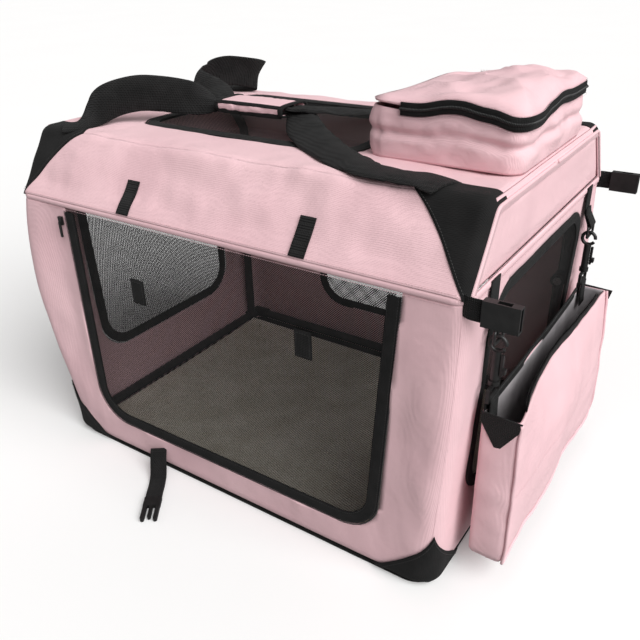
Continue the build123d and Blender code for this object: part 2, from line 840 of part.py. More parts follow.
with BuildPart() as pouch_body:
    block((pouch_left, pouch_front, height + gap), (pouch_right, pouch_back, pouch_rim))
    fillet(pouch_body.edges().filter_by(Axis.Z), 16)
    block(
        (pouch_left + cloth, pouch_front + cloth, height + gap + cloth),
        (pouch_right - cloth, pouch_back - cloth, pouch_rim + 1),
        Mode.SUBTRACT,
    )
save(pouch_body.part, "pouch_body")

zip_high = 5.0
with BuildPart() as pouch_zip:
    with BuildSketch(Plane.XY.offset(pouch_rim + 0.2)):
        with Locations(((pouch_left + pouch_right) / 2, (pouch_front + pouch_back) / 2)):
            zip_x = pouch_right - pouch_left
            zip_y = pouch_back - pouch_front
            RectangleRounded(zip_x, zip_y, 16)
            RectangleRounded(zip_x - 4, zip_y - 4, 14, mode=Mode.SUBTRACT)
        with Locations((pouch_left, (pouch_front + pouch_back) / 2)):
            Rectangle(2 * pouch_zip_from, width, mode=Mode.SUBTRACT)
    extrude(amount=zip_high)
save(pouch_zip.part, "pouch_zip")

with BuildPart() as pouch_lid:
    block((pouch_left, pouch_front, pouch_rim + zip_high + 0.6), (pouch_right, pouch_back, pouch_top))
    fillet(pouch_lid.edges().filter_by(Axis.Z), 16)
    fillet(pouch_lid.faces().sort_by(Axis.Z)[-1].edges(), 14)
save(pouch_lid.part, "pouch_lid")

# ---- carrying handles ------------------------------------------------------------------------------------

handle_width = 50.0
handle_thick = 2.4
grip_long = 112.0
grip_thick = 14.0
grip_x = -62.0
grip_y = -37.0
grip_rise = 26.0  # from the roof to the middle of the grip
grip_z = height + grip_rise
handle_end = half_l - 58  # the sewn ends


def ribbon(points):
    """A flat strap through points, its width level and square to its run."""
    count = len(points)
    sections = []
    for i in range(count):
        a = Vector(*points[max(i - 1, 0)])
        b = Vector(*points[min(i + 1, count - 1)])
        run = (b - a).normalized()
        across = Vector(-run.Y, run.X, 0).normalized()
        with BuildSketch(Plane(origin=points[i], x_dir=across, z_dir=run)) as section:
            Rectangle(handle_width, handle_thick)
        sections.append(section.sketch)
    loft(sections, ruled=True)


grip_ends = (grip_x - grip_long / 2 - 4, grip_x + grip_long / 2 + 4)
sewn_z = height + skin_gap + patch_thick + 2.2
with BuildPart() as front_handle:
    low = grip_z - 2.2
    ribbon(
        [
            (-handle_end, -174, sewn_z),
            (-272, -150, sewn_z + 26),
            (-240, -116, sewn_z + 46),
            (-192, -78, sewn_z + 43),
            (-156, -52, low + 3),
            (grip_ends[0] - 10, grip_y, low - 1),
            (grip_ends[0], grip_y, low),
            (grip_ends[1], grip_y, low),
            (grip_ends[1] + 10, grip_y, low - 1),
            (45, -80, sewn_z + 10),
            (105, -124, sewn_z + 2),
            (180, -165, sewn_z + 1),
            (268, -174, sewn_z),
        ]
    )
save(front_handle.part, "front_handle")

with BuildPart() as back_handle:
    high = grip_z + 2.2
    ribbon(
        [
            (-handle_end, 174, sewn_z),
            (-272, 146, sewn_z + 28),
            (-242, 108, sewn_z + 48),
            (-200, 52, sewn_z + 50),
            (-156, -10, high + 12),
            (grip_ends[0] - 10, grip_y, high + 4),
            (grip_ends[0], grip_y, high),
            (grip_ends[1], grip_y, high),
            (grip_ends[1] + 10, grip_y, high + 4),
            (32, 14, sewn_z + 16),
            (66, 84, sewn_z + 6),
            (112, 142, sewn_z + 2),
            (186, 168, sewn_z + 1),
            (268, 174, sewn_z),
        ]
    )
save(back_handle.part, "back_handle")

with BuildPart() as grip_wrap:
    with BuildSketch(Plane.YZ.offset(grip_x - grip_long / 2)):
        with Locations((grip_y, grip_z)):
            RectangleRounded(handle_width + 9, grip_thick, 6)
            RectangleRounded(handle_width + 2, grip_thick - 5.4, 1, mode=Mode.SUBTRACT)
    extrude(amount=grip_long)
save(grip_wrap.part, "grip_wrap")
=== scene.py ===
"""Looks of a soft folding pet carrier: fabric, mesh, webbing and trim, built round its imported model."""

import math

import bmesh
import bpy
from mathutils import Matrix, Vector, noise


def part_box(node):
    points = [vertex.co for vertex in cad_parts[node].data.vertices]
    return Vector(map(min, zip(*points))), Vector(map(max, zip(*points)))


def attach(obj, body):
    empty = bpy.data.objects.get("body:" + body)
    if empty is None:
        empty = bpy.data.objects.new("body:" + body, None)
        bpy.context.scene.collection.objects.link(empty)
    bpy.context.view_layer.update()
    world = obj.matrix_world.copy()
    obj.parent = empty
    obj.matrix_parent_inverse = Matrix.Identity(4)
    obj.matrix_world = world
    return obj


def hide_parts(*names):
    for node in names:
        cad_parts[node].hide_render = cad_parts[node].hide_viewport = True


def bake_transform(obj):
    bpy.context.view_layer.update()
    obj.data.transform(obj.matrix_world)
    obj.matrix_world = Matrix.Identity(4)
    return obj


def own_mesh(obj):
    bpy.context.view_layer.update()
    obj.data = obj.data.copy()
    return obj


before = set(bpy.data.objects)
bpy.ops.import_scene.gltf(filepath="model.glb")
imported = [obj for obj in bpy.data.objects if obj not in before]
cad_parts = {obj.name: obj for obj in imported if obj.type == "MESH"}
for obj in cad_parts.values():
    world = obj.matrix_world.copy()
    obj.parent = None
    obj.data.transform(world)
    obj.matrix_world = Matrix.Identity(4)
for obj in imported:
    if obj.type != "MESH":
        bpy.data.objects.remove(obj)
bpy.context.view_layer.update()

# ---- Camera and light ------------------------------------------------------------------------------------------
# The carrier is seen from above its front right corner. One wide soft lamp stands high on the right, and a pale
# room fills the shadows.

eye = Vector((0.568, -0.827, 0.717))
yaw, pitch, roll = (math.radians(a) for a in (-34.2, 27.96, -1.33))
ahead = Vector((math.sin(yaw) * math.cos(pitch), math.cos(yaw) * math.cos(pitch), -math.sin(pitch)))
level = Vector((math.cos(yaw), -math.sin(yaw), 0))
upright = level.cross(ahead)
across = level * math.cos(roll) + upright * math.sin(roll)
above = upright * math.cos(roll) - level * math.sin(roll)
camera = bpy.data.objects.new("camera", bpy.data.cameras.new("camera"))
camera.data.lens = 39.17
camera.data.clip_start = 0.01
camera.matrix_world = Matrix.Translation(eye) @ Matrix((across, above, -ahead)).transposed().to_4x4()
bpy.context.scene.collection.objects.link(camera)
bpy.context.scene.camera = camera

world = bpy.data.worlds.new("room")
world.use_nodes = True
sky = world.node_tree.nodes["Background"]
sky.inputs["Color"].default_value = (1.0, 0.995, 0.99, 1)
sky.inputs["Strength"].default_value = 0.30
backdrop = world.node_tree.nodes.new("ShaderNodeBackground")
backdrop.inputs["Strength"].default_value = 1.0
seen = world.node_tree.nodes.new("ShaderNodeLightPath")
choose = world.node_tree.nodes.new("ShaderNodeMixShader")
world.node_tree.links.new(seen.outputs["Is Camera Ray"], choose.inputs[0])
world.node_tree.links.new(sky.outputs[0], choose.inputs[1])
world.node_tree.links.new(backdrop.outputs[0], choose.inputs[2])
world.node_tree.links.new(choose.outputs[0], world.node_tree.nodes["World Output"].inputs["Surface"])
bpy.context.scene.world = world
bpy.context.scene.view_settings.view_transform = "Standard"

lamp_side = Vector((0.72, -0.26, 0.64))  # towards the lamp
canopy = bpy.data.objects.new("canopy", bpy.data.lights.new("canopy", "SUN"))
canopy.data.energy = 3.9
canopy.data.angle = math.radians(55)
canopy.rotation_euler = lamp_side.to_track_quat("Z", "Y").to_euler()
bpy.context.scene.collection.objects.link(canopy)


# ---- Floor -----------------------------------------------------------------------------------------------------
# A plain pale studio sheet, wide enough to fill every view. It throws little light back, so that the walls keep
# their shade near the ground.


def mesh_object(name, points, faces, smooth=True):
    """A mesh piece from points and faces, in the carrier's own frame."""
    mesh = bpy.data.meshes.new(name)
    mesh.from_pydata([tuple(p) for p in points], [], faces)
    mesh.update()
    for face in mesh.polygons:
        face.use_smooth = smooth
    piece = bpy.data.objects.new(name, mesh)
    bpy.context.scene.collection.objects.link(piece)
    return piece


def grid_faces(across_count, along_count, wrap=False):
    """Quads of a grid stored row by row; wrap joins the last column to the first."""
    faces = []
    for j in range(along_count - 1):
        for i in range(across_count if wrap else across_count - 1):
            k = (i + 1) % across_count
            faces.append(
                (j * across_count + i, j * across_count + k, (j + 1) * across_count + k, (j + 1) * across_count + i)
            )
    return faces


def new_material(name, base, rough, sheen=0.0, metal=0.0, specular=0.4):
    """A named material and its shader, ready for colour and bump nodes."""
    made = bpy.data.materials.new(name)
    made.use_nodes = True
    shader = made.node_tree.nodes["Principled BSDF"]
    shader.inputs["Base Color"].default_value = (*base, 1)
    shader.inputs["Roughness"].default_value = rough
    shader.inputs["Metallic"].default_value = metal
    shader.inputs["Specular IOR Level"].default_value = specular
    if sheen:
        shader.inputs["Sheen Weight"].default_value = sheen
        shader.inputs["Sheen Roughness"].default_value = 0.5
    return made, made.node_tree, shader


def place_node(tree, kind, **values):
    """A node with its inputs and settings given by name."""
    made = tree.nodes.new(kind)
    for key, value in values.items():
        if key in made.inputs:
            made.inputs[key].default_value = value
        else:
            setattr(made, key, value)
    return made


def noise_node(tree, scale, detail=3.0, stretch=None):
    """Noise over the piece's own coordinates, optionally stretched along an axis."""
    coords = place_node(tree, "ShaderNodeTexCoord")
    grain = place_node(tree, "ShaderNodeTexNoise", Scale=scale, Detail=detail)
    source = coords.outputs["Object"]
    if stretch:
        mapping = place_node(tree, "ShaderNodeMapping", Scale=stretch)
        tree.links.new(source, mapping.inputs["Vector"])
        source = mapping.outputs["Vector"]
    tree.links.new(source, grain.inputs["Vector"])
    return grain.outputs["Fac"]


def tint(tree, shader, factor, dark, light, low=0.3, high=0.7):
    """Base colour that wanders between two tones with a factor."""
    ramp = place_node(tree, "ShaderNodeValToRGB")
    ramp.color_ramp.elements[0].position = low
    ramp.color_ramp.elements[0].color = (*dark, 1)
    ramp.color_ramp.elements[1].position = high
    ramp.color_ramp.elements[1].color = (*light, 1)
    tree.links.new(factor, ramp.inputs["Fac"])
    tree.links.new(ramp.outputs["Color"], shader.inputs["Base Color"])
    return ramp


def bump(tree, shader, height, depth, strength=1.0, before=None):
    """Relief of a depth in metres, laid over the relief before it."""
    made = place_node(tree, "ShaderNodeBump", Strength=strength, Distance=depth)
    tree.links.new(height, made.inputs["Height"])
    if before:
        tree.links.new(before.outputs["Normal"], made.inputs["Normal"])
    tree.links.new(made.outputs["Normal"], shader.inputs["Normal"])
    return made


def threads(tree, pitch, axes="XYZ"):
    """The height of crossed threads, a sine along each axis added up."""
    coords = place_node(tree, "ShaderNodeTexCoord")
    split = place_node(tree, "ShaderNodeSeparateXYZ")
    tree.links.new(coords.outputs["Object"], split.inputs["Vector"])
    total = None
    for axis in axes:
        times = place_node(tree, "ShaderNodeMath", operation="MULTIPLY")
        times.inputs[1].default_value = 2 * math.pi / pitch
        wave = place_node(tree, "ShaderNodeMath", operation="SINE")
        tree.links.new(split.outputs[axis], times.inputs[0])
        tree.links.new(times.outputs[0], wave.inputs[0])
        if total is None:
            total = wave.outputs[0]
        else:
            add = place_node(tree, "ShaderNodeMath", operation="ADD")
            tree.links.new(total, add.inputs[0])
            tree.links.new(wave.outputs[0], add.inputs[1])
            total = add.outputs[0]
    return total


paper, paper_tree, paper_shader = new_material("pale_paper", (0.93, 0.925, 0.92), 0.95, specular=0.1)
tint(paper_tree, paper_shader, noise_node(paper_tree, 1.5), (0.925, 0.92, 0.915), (0.935, 0.93, 0.925))
reach = 30
corners = [(-reach, -reach, 0), (reach, -reach, 0), (reach, reach, 0), (-reach, reach, 0)]
ground = mesh_object("ground", corners, [(0, 1, 2, 3)], False)
ground.location.z = -0.0006
ground.data.materials.append(paper)
weak_bounce = 0.28
dull = place_node(paper_tree, "ShaderNodeBsdfDiffuse", Color=(weak_bounce, weak_bounce, weak_bounce, 1))
glance = place_node(paper_tree, "ShaderNodeLightPath")
either = place_node(paper_tree, "ShaderNodeMixShader")
paper_tree.links.new(glance.outputs["Is Camera Ray"], either.inputs[0])
paper_tree.links.new(dull.outputs[0], either.inputs[1])
paper_tree.links.new(paper_shader.outputs[0], either.inputs[2])
paper_tree.links.new(either.outputs[0], paper_tree.nodes["Material Output"].inputs["Surface"])

# ---- Steel frame -----------------------------------------------------------------------------------------------
# Powder-coated tube in moulded elbows and clips, folding on plated knee pins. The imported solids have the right
# shape, so they only take their finishes.

coat, coat_tree, coat_shader = new_material("black_powder_coat", (0.022, 0.022, 0.024), 0.5, specular=0.45)
bump(coat_tree, coat_shader, noise_node(coat_tree, 900, 2), 0.0002, 0.35)
tint(coat_tree, coat_shader, noise_node(coat_tree, 40), (0.008, 0.008, 0.009), (0.018, 0.0175, 0.018))

acetal, acetal_tree, acetal_shader = new_material("black_moulded_plastic", (0.02, 0.02, 0.02), 0.42, specular=0.5)
bump(acetal_tree, acetal_shader, noise_node(acetal_tree, 1400, 2), 0.0001, 0.3)
tint(acetal_tree, acetal_shader, noise_node(acetal_tree, 90), (0.006, 0.006, 0.006), (0.014, 0.0135, 0.0135))

plate, plate_tree, plate_shader = new_material("plated_steel", (0.6, 0.6, 0.6), 0.28, metal=1.0, specular=0.5)
tint(plate_tree, plate_shader, noise_node(plate_tree, 220), (0.42, 0.42, 0.43), (0.68, 0.68, 0.7))
bump(plate_tree, plate_shader, noise_node(plate_tree, 800, 2, (1, 1, 0.1)), 0.0001, 0.3)

finishes = {
    "base_long_rails": coat,
    "base_end_rails": coat,
    "right_lower_legs": coat,
    "left_lower_legs": coat,
    "right_hoop": coat,
    "left_hoop": coat,
    "roof_rails": coat,
    "base_elbows": acetal,
    "rail_clips": acetal,
    "right_knee_pins": plate,
    "left_knee_pins": plate,
}


def refinish(node, finish):
    """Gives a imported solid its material."""
    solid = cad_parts[node]
    solid.data.materials.clear()
    solid.data.materials.append(finish)
    return solid


def soften(solid, width, segments, by_angle=True):
    """Breaks the sharp edges of a moulded piece."""
    rounding = solid.modifiers.new("soft_edges", "BEVEL")
    rounding.width = width
    rounding.segments = segments
    if by_angle:
        rounding.limit_method = "ANGLE"


for node, finish in finishes.items():
    refinish(node, finish)

# ---- Floor board -----------------------------------------------------------------------------------------------
# A hardboard panel, loose on the floor cloth, stiffens the floor.

hardboard, board_tree, board_shader = new_material("hardboard", (0.3, 0.2, 0.13), 0.75)
tint(board_tree, board_shader, noise_node(board_tree, 180, 5), (0.22, 0.145, 0.09), (0.36, 0.25, 0.16))
bump(board_tree, board_shader, noise_node(board_tree, 600, 3), 0.0003, 0.4)
refinish("floor_board", hardboard)

# ---- Floor mat -------------------------------------------------------------------------------------------------
# A thin wadded mat with a short fleece face, loose on the board. Its edge is turned and pulls in a little
# between the corners, and the middle has been lain on.

mat_low, mat_high = (Vector(c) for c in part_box("floor_mat"))
mat_mid = (mat_low + mat_high) / 2
mat_half = (mat_high - mat_low) / 2


def mat_point(u, v, top):
    """A point of the mat, u and v from -1 to 1; its edge is a soft roll."""
    edge = max(abs(u), abs(v))
    pull = 1 - 0.012 * (1 - min(abs(u), abs(v)) ** 2) * edge**6
    x = mat_mid.x + mat_half.x * u * pull
    y = mat_mid.y + mat_half.y * v * pull
    roll_in = max(0.0, 1 - (1 - edge) / 0.05)
    full = math.sqrt(max(0.0, 1 - roll_in**2))
    lumps = noise.noise(Vector((x * 9, y * 9, 3))) * 0.0016 + noise.noise(Vector((x * 30, y * 30, 7))) * 0.0006
    half_thick = mat_half.z * (0.86 * full + 0.02)
    if top:
        return (x, y, mat_low.z + mat_half.z + half_thick + lumps * full - 0.001)
    return (x, y, mat_low.z + mat_half.z - half_thick)


steps = 72
ease = [math.sin((i / (steps - 1) - 0.5) * math.pi * 0.94) / math.sin(math.pi * 0.47) for i in range(steps)]
upper = [mat_point(u, v, True) for v in ease for u in ease]
lower = [mat_point(u, v, False) for v in ease for u in ease]
top_faces = grid_faces(steps, steps)
under_faces = [tuple(reversed([n + steps * steps for n in f])) for f in top_faces]
rim = [i for i in range(steps)] + [j * steps + steps - 1 for j in range(1, steps)]
rim += [(steps - 1) * steps + i for i in range(steps - 2, -1, -1)] + [j * steps for j in range(steps - 2, 0, -1)]
rim_faces = []
for i, corner in enumerate(rim):
    after = rim[(i + 1) % len(rim)]
    rim_faces.append((after, corner, corner + steps * steps, after + steps * steps))
floor_mat = mesh_object("fleece_mat", upper + lower, top_faces + under_faces + rim_faces)
fleece, fleece_tree, fleece_shader = new_material("taupe_fleece", (0.4, 0.36, 0.3), 0.95, sheen=0.5, specular=0.15)
fleece_patches = noise_node(fleece_tree, 26, 6)
tint(fleece_tree, fleece_shader, fleece_patches, (0.70, 0.655, 0.53), (0.86, 0.81, 0.69), 0.35, 0.65)
tufts = bump(fleece_tree, fleece_shader, noise_node(fleece_tree, 420, 5), 0.0016, 0.7)
bump(fleece_tree, fleece_shader, noise_node(fleece_tree, 60, 3), 0.003, 0.4, tufts)
floor_mat.data.materials.append(fleece)
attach(floor_mat, "base")
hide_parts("floor_mat")

# ---- Walls -----------------------------------------------------------------------------------------------------
# Padded pink Oxford panels, sewn to each other at softly rounded corners and rolled under at the ground. Each is
# one sheet with its door or window cut out; the frame folds inside them, so they crumple down towards the base.

top_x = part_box("gables")[1][0]
foot_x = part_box("floor_cover")[1][0] + 0.0034  # the wall stands just outside the floor cloth
half_w = -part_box("front_wall")[0][1]
ridge_z = (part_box("ridge_seam_long")[0][2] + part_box("ridge_seam_long")[1][2]) / 2
roof_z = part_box("roof_panel")[1][2]
shoulder_cloth = 0.0036  # the shoulder's cloth, measured level
roof_half = shoulder_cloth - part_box("front_shoulder")[1][1]
corner_round = 0.018
foot_round = 0.016
wall_thick = 0.0026


def end_x(z):
    return foot_x + (top_x - foot_x) * z / ridge_z


def soft(x, y, z, size, depth, seed=0.0):
    """A gentle unevenness of the cloth, in metres."""
    return noise.noise(Vector((x * size + seed, y * size, z * size - seed))) * depth


def corner_radius(z):
    """How round the upright corners are: softest at the foot, tightest under the ridge."""
    up = min(1.0, z / ridge_z)
    return corner_round + 0.011 * (1 - up**3)


def corner_swell(x, y, z):
    """How far the wadding pushes the walls out beside the corners, most at the left front one."""
    up = min(1.0, max(0.0, (z - 0.05) / (ridge_z - 0.05)))
    rise = math.sin(math.pi * up**1.35) ** 0.8 if 0 < up < 1 else 0.0
    near_x = min(1.0, max(0.0, (abs(x) - 0.262) / 0.06))
    near_y = min(1.0, max(0.0, (abs(y) - 0.172) / 0.06))
    near_x, near_y = near_x * near_x * (3 - 2 * near_x), near_y * near_y * (3 - 2 * near_y)
    most = 0.0135 if x < 0 and y < 0 else 0.005
    return Vector((math.copysign(most * rise * near_y, x), math.copysign(most * rise * near_x, y)))


def wall_point(side, a, z):
    """A point of the walls' outer face. side is 0 front, 1 right, 2 back, 3 left; a runs from -1 to 1 across it."""
    hx, hy = end_x(z), half_w
    if z < foot_round:
        under = foot_round - math.sqrt(max(0.0, foot_round**2 - (foot_round - z) ** 2))
        hx, hy = hx - under, hy - under
    x, y = {0: (a * hx, -hy), 1: (hx, a * hy), 2: (-a * hx, hy), 3: (-hx, -a * hy)}[side]
    swell = corner_swell(x, y, z)
    r = corner_radius(z)
    cx, cy = hx - r, hy - r
    if abs(x) > cx and abs(y) > cy:
        d = Vector((abs(x) - cx, abs(y) - cy))
        reach = max(d.x, d.y)
        d = d.normalized() * reach
        x, y = math.copysign(cx + d.x, x), math.copysign(cy + d.y, y)
    x, y = x + swell.x, y + swell.y
    fade = min(1.0, (1 - abs(a)) * 9) * min(1.0, z / 0.05, max(0.0, (ridge_z - z) / 0.05))
    puff = 0.0022 * fade * (1 - abs(a) ** 2) + soft(x, y, z, 14, 0.0028, side) * fade
    puff += soft(x * 3, y * 3, z, 16, 0.0010, side + 5) * fade - 0.0022
    out = {0: (0, -1), 1: (1, 0), 2: (0, 1), 3: (-1, 0)}[side]
    return Vector((x + out[0] * puff, y + out[1] * puff, max(z, 0.0008)))


def snap_edges(bm, outline, project, reach):
    """Moves the cut's ragged edge points onto the outline, a list of (a, b) pairs in project's plane."""
    loops = [v for v in bm.verts if v.is_boundary]
    for vert in loops:
        here = Vector(project(vert.co))
        near = min(outline, key=lambda p: (p[0] - here.x) ** 2 + (p[1] - here.y) ** 2)
        gap = Vector(near) - here
        if gap.length < reach:
            vert.co = vert.co + project.back(gap)


class Facing:
    """The plane that a panel's cuts are drawn in: X, Z on the long sides, Y, Z on the ends and X, Y above."""

    def __init__(self, first, second):
        self.first, self.second = first, second

    def __call__(self, p):
        return (p[self.first], p[self.second])

    def back(self, d):
        shift = Vector((0, 0, 0))
        shift[self.first], shift[self.second] = d[0], d[1]
        return shift


long_side, end_side, level_side = Facing(0, 2), Facing(1, 2), Facing(0, 1)


def rounded(corners, radius, steps=10, closed=True):
    """An outline through corners, each rounded by its own radius, with points about 4 mm apart."""
    count = len(corners)
    points = []
    for i, corner in enumerate(corners):
        here = Vector(corner)
        r = radius[i] if isinstance(radius, (list, tuple)) else radius
        if r <= 0 or (not closed and i in (0, count - 1)):
            points.append(here)
            continue
        before = (Vector(corners[i - 1]) - here).normalized()
        after = (Vector(corners[(i + 1) % count]) - here).normalized()
        half = before.angle(after) / 2
        centre = here + (before + after).normalized() * r / math.sin(half)
        start = here + before * r / math.tan(half)
        end = here + after * r / math.tan(half)
        for k in range(steps + 1):
            t = k / steps
            spot = start.lerp(end, t) - centre
            points.append(centre + spot.normalized() * r)
    dense = []
    for i, p in enumerate(points):
        if not closed and i == len(points) - 1:
            break
        q = points[(i + 1) % len(points)]
        cuts = max(1, round((q - p).length / 0.004))
        dense += [tuple(p.lerp(q, k / cuts)) for k in range(cuts)]
    if not closed:
        dense.append(tuple(points[-1]))
    return dense


def inside(point, outline):
    """True if a point of the plane lies within a closed outline."""
    x, y = point
    hit = False
    for i, (x1, y1) in enumerate(outline):
        x2, y2 = outline[i - 1]
        if (y1 > y) != (y2 > y) and x < (x2 - x1) * (y - y1) / (y2 - y1) + x1:
            hit = not hit
    return hit


def cut_panel(name, point, columns, rows, outlines, plane):
    """A sheet over a grid of parameters with openings cut out along clean edges."""
    snap = 0.006
    points = [point(a, b) for b in rows for a in columns]
    faces = []
    for face in grid_faces(len(columns), len(rows)):
        middle = sum((points[n] for n in face), Vector()) / 4
        if not any(inside(plane(middle), o) for o in outlines):
            faces.append(face)
    piece = mesh_object(name, points, faces)
    bm = bmesh.new()
    bm.from_mesh(piece.data)
    bmesh.ops.delete(bm, geom=[v for v in bm.verts if not v.link_faces], context="VERTS")
    for outline in outlines:
        snap_edges(bm, outline, plane, snap)
    bmesh.ops.recalc_face_normals(bm, faces=bm.faces)
    bm.to_mesh(piece.data)
    bm.free()
    return piece


def face_out(piece, middle):
    """Turns a sheet's faces so that they point away from a point inside the carrier."""
    total = sum((f.center - Vector(middle)).dot(f.normal) for f in piece.data.polygons)
    if total < 0:
        piece.data.flip_normals()


def thicken(piece, thickness):
    """Gives a sheet its thickness, inwards from the face that was drawn."""
    solidify = piece.modifiers.new("cloth", "SOLIDIFY")
    solidify.thickness = thickness
    solidify.offset = -1
    solidify.use_rim = True


def opening(node_low, node_high, plane, margin, radius):
    """The rounded outline of a door or window, round the box of its binding grown by a margin."""
    low, high = plane(node_low), plane(node_high)
    return rounded(
        [
            (low[0] - margin, low[1] - margin),
            (high[0] + margin, low[1] - margin),
            (high[0] + margin, high[1] + margin),
            (low[0] - margin, high[1] + margin),
        ],
        radius,
    )


door_low, door_high = (Vector(c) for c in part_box("front_door_binding"))
door_slant = 0.026  # the right side leans out by this much between the bottom and the ridge
door_margin = 0.0015
door_corner = 0.055
front_outline = rounded(
    [
        (door_low.x - door_margin, door_low.z - door_margin),
        (door_high.x - door_slant + door_margin, door_low.z - door_margin),
        (door_high.x + door_margin, ridge_z + 0.01),
        (door_low.x - door_margin, ridge_z + 0.01),
    ],
    [door_corner, door_corner, 0, 0],
)
left_low, left_high = (Vector(c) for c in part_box("left_door_binding"))
left_outline = rounded(
    [
        (left_low.y - door_margin, left_low.z - door_margin),
        (left_high.y + door_margin, left_low.z - door_margin),
        (left_high.y + door_margin, ridge_z + 0.01),
        (left_low.y - door_margin, ridge_z + 0.01),
    ],
    [door_corner, door_corner, 0, 0],
)
window_lap = 0.003  # the binding covers the wall's edge by this much
window_corner = door_corner - window_lap
right_outline = opening(*(Vector(c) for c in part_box("right_window_binding")), end_side, -window_lap, window_corner)
back_outline = opening(*(Vector(c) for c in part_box("back_window_binding")), long_side, -window_lap, window_corner)

pink, pink_tree, pink_shader = new_material("pink_oxford", (0.82, 0.575, 0.6), 0.8, sheen=0.12, specular=0.2)
tint(pink_tree, pink_shader, noise_node(pink_tree, 7, 4), (0.79, 0.51, 0.545), (0.86, 0.58, 0.61))
slubs = bump(pink_tree, pink_shader, threads(pink_tree, 0.0011), 0.00016, 0.5)
bump(pink_tree, pink_shader, noise_node(pink_tree, 55, 4), 0.0022, 0.30, slubs)

foot_rows = [0.0008, 0.003, 0.007, 0.012, 0.018]  # closer together where the wall rolls under
wall_rows = foot_rows + [foot_rows[-1] + (ridge_z - 0.0205) * k / 70 for k in range(1, 71)]
spread = [-1 + 2 * k / 124 for k in range(125)]
spread = sorted(set(spread) | {s * (1 - k * 0.004) for k in range(12) for s in (-1, 1)})
walls = (
    ("front_panel", 0, "front_wall", [front_outline], long_side, 0.70, 0.105),
    ("right_panel", 1, "right_wall", [right_outline], end_side, 0.50, 0.110),
    ("back_panel", 2, "back_wall", [back_outline], long_side, 0.70, 0.175),
    ("left_panel", 3, "left_wall", [left_outline], end_side, 0.50, 0.110),
)
for name, side, node, outlines, plane, run_length, cut_area in walls:
    panel = cut_panel(name, lambda a, z, s=side: wall_point(s, a, z), spread, wall_rows, outlines, plane)
    face_out(panel, (0, 0, 0.2))
    thicken(panel, wall_thick)
    panel.data.materials.append(pink)
    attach(panel, "base")
    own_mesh(panel)
    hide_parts(node)

# ---- Doors and windows -----------------------------------------------------------------------------------------
# Black net held in folded black tape. The big front door and the left one hang from the ridge seam and close with
# a coil zip round three sides; the back and right windows are sewn in.

band = 0.0165  # the binding's width
tape_thick = 0.0042
stitch_in = 0.0022  # from the tape's edges to its stitches
normals = {
    "front": Vector((0, -1, 0)),
    "back": Vector((0, 1, 0)),
    "right": Vector((1, 0, -0.039)).normalized(),
    "left": Vector((-1, 0, -0.039)).normalized(),
    "roof": Vector((0, 0, 1)),
}


def on_face(side, a, b):
    """A point of a face from its two plane coordinates."""
    if side in ("front", "back"):
        return Vector((a, math.copysign(half_w, normals[side].y), b))
    if side == "roof":
        return Vector((a, b, roof_z))
    return Vector((math.copysign(end_x(b), normals[side].x), a, b))


tape_profile = [(-1, 0), (-0.94, 0.75), (-0.55, 1), (0, 0.86), (0.55, 1), (0.94, 0.75), (1, 0)]
tape_profile += [(0.94, -0.75), (0, -1), (-0.94, -0.75)]
round_profile = [(math.cos(k * math.pi / 5), math.sin(k * math.pi / 5)) for k in range(10)]


def runs(centres, closed):
    """The direction of a path at each of its points."""
    count = len(centres)
    found = []
    for i in range(count):
        before = centres[i - 1] if closed or i else centres[0]
        after = centres[(i + 1) % count] if closed or i < count - 1 else centres[-1]
        found.append((after - before).normalized())
    return found


def sweep(name, centres, out, width, thick, closed=False, profile=tape_profile):
    """A tape or cord along a path; out is its face's direction, one for all points or a list."""
    if isinstance(out, Vector):
        out = [out] * len(centres)
    points = []
    for c, run, n in zip(centres, runs(centres, closed), out):
        side = run.cross(n).normalized()
        up = side.cross(run).normalized()
        points += [c + side * (s * width / 2) + up * (h * thick / 2) for s, h in profile]
    k, rows = len(profile), len(centres)
    faces = grid_faces(k, rows, wrap=True)
    if closed:
        faces += [((rows - 1) * k + i, (rows - 1) * k + (i + 1) % k, (i + 1) % k, i) for i in range(k)]
    else:
        faces += [tuple(reversed(range(k))), tuple(range((rows - 1) * k, rows * k))]
    piece = mesh_object(name, points, faces)
    bm = bmesh.new()
    bm.from_mesh(piece.data)
    bmesh.ops.recalc_face_normals(bm, faces=bm.faces)
    bm.to_mesh(piece.data)
    bm.free()
    return piece


def spaced(path, pitch, closed=False):
    """The path again with points a pitch apart."""
    path = [Vector(p) for p in path]
    if closed:
        path.append(path[0])
    lengths = [0.0]
    for p, q in zip(path, path[1:]):
        lengths.append(lengths[-1] + (q - p).length)
    count = max(2, round(lengths[-1] / pitch))
    found, j = [], 0
    for i in range(count if closed else count + 1):
        want = lengths[-1] * i / count
        while j < len(lengths) - 2 and lengths[j + 1] < want:
            j += 1
        share = (want - lengths[j]) / max(1e-9, lengths[j + 1] - lengths[j])
        found.append(path[j].lerp(path[j + 1], min(1, max(0, share))))
    return found


def stitches(name, path, out, thread, closed=False, pitch=0.0036, long=0.0026, thick=0.0007, lift=0.0002):
    """A row of thread stitches along a path, each a short flat bead."""
    path = spaced(path, pitch, closed)
    dirs = runs(path, closed)
    points, faces = [], []
    for i, (p, run) in enumerate(zip(path, dirs)):
        n = out[min(len(out) - 1, i * len(out) // len(path))] if isinstance(out, list) else out
        side = run.cross(n).normalized()
        up = side.cross(run).normalized()
        base = len(points)
        p = p + up * lift
        for along, size in ((-0.5, 0.35), (-0.3, 1), (0.3, 1), (0.5, 0.35)):
            for s, h in ((-1, 0), (0, 1), (1, 0)):
                wide, tall = s * size * thick / 2, h * size * thick / 2
                points.append(p + run * (along * long) + side * wide + up * tall)
        for row in range(3):
            for col in range(2):
                k = base + row * 3 + col
                faces.append((k, k + 1, k + 4, k + 3))
    piece = mesh_object(name, points, faces)
    piece.data.materials.append(thread)
    return piece


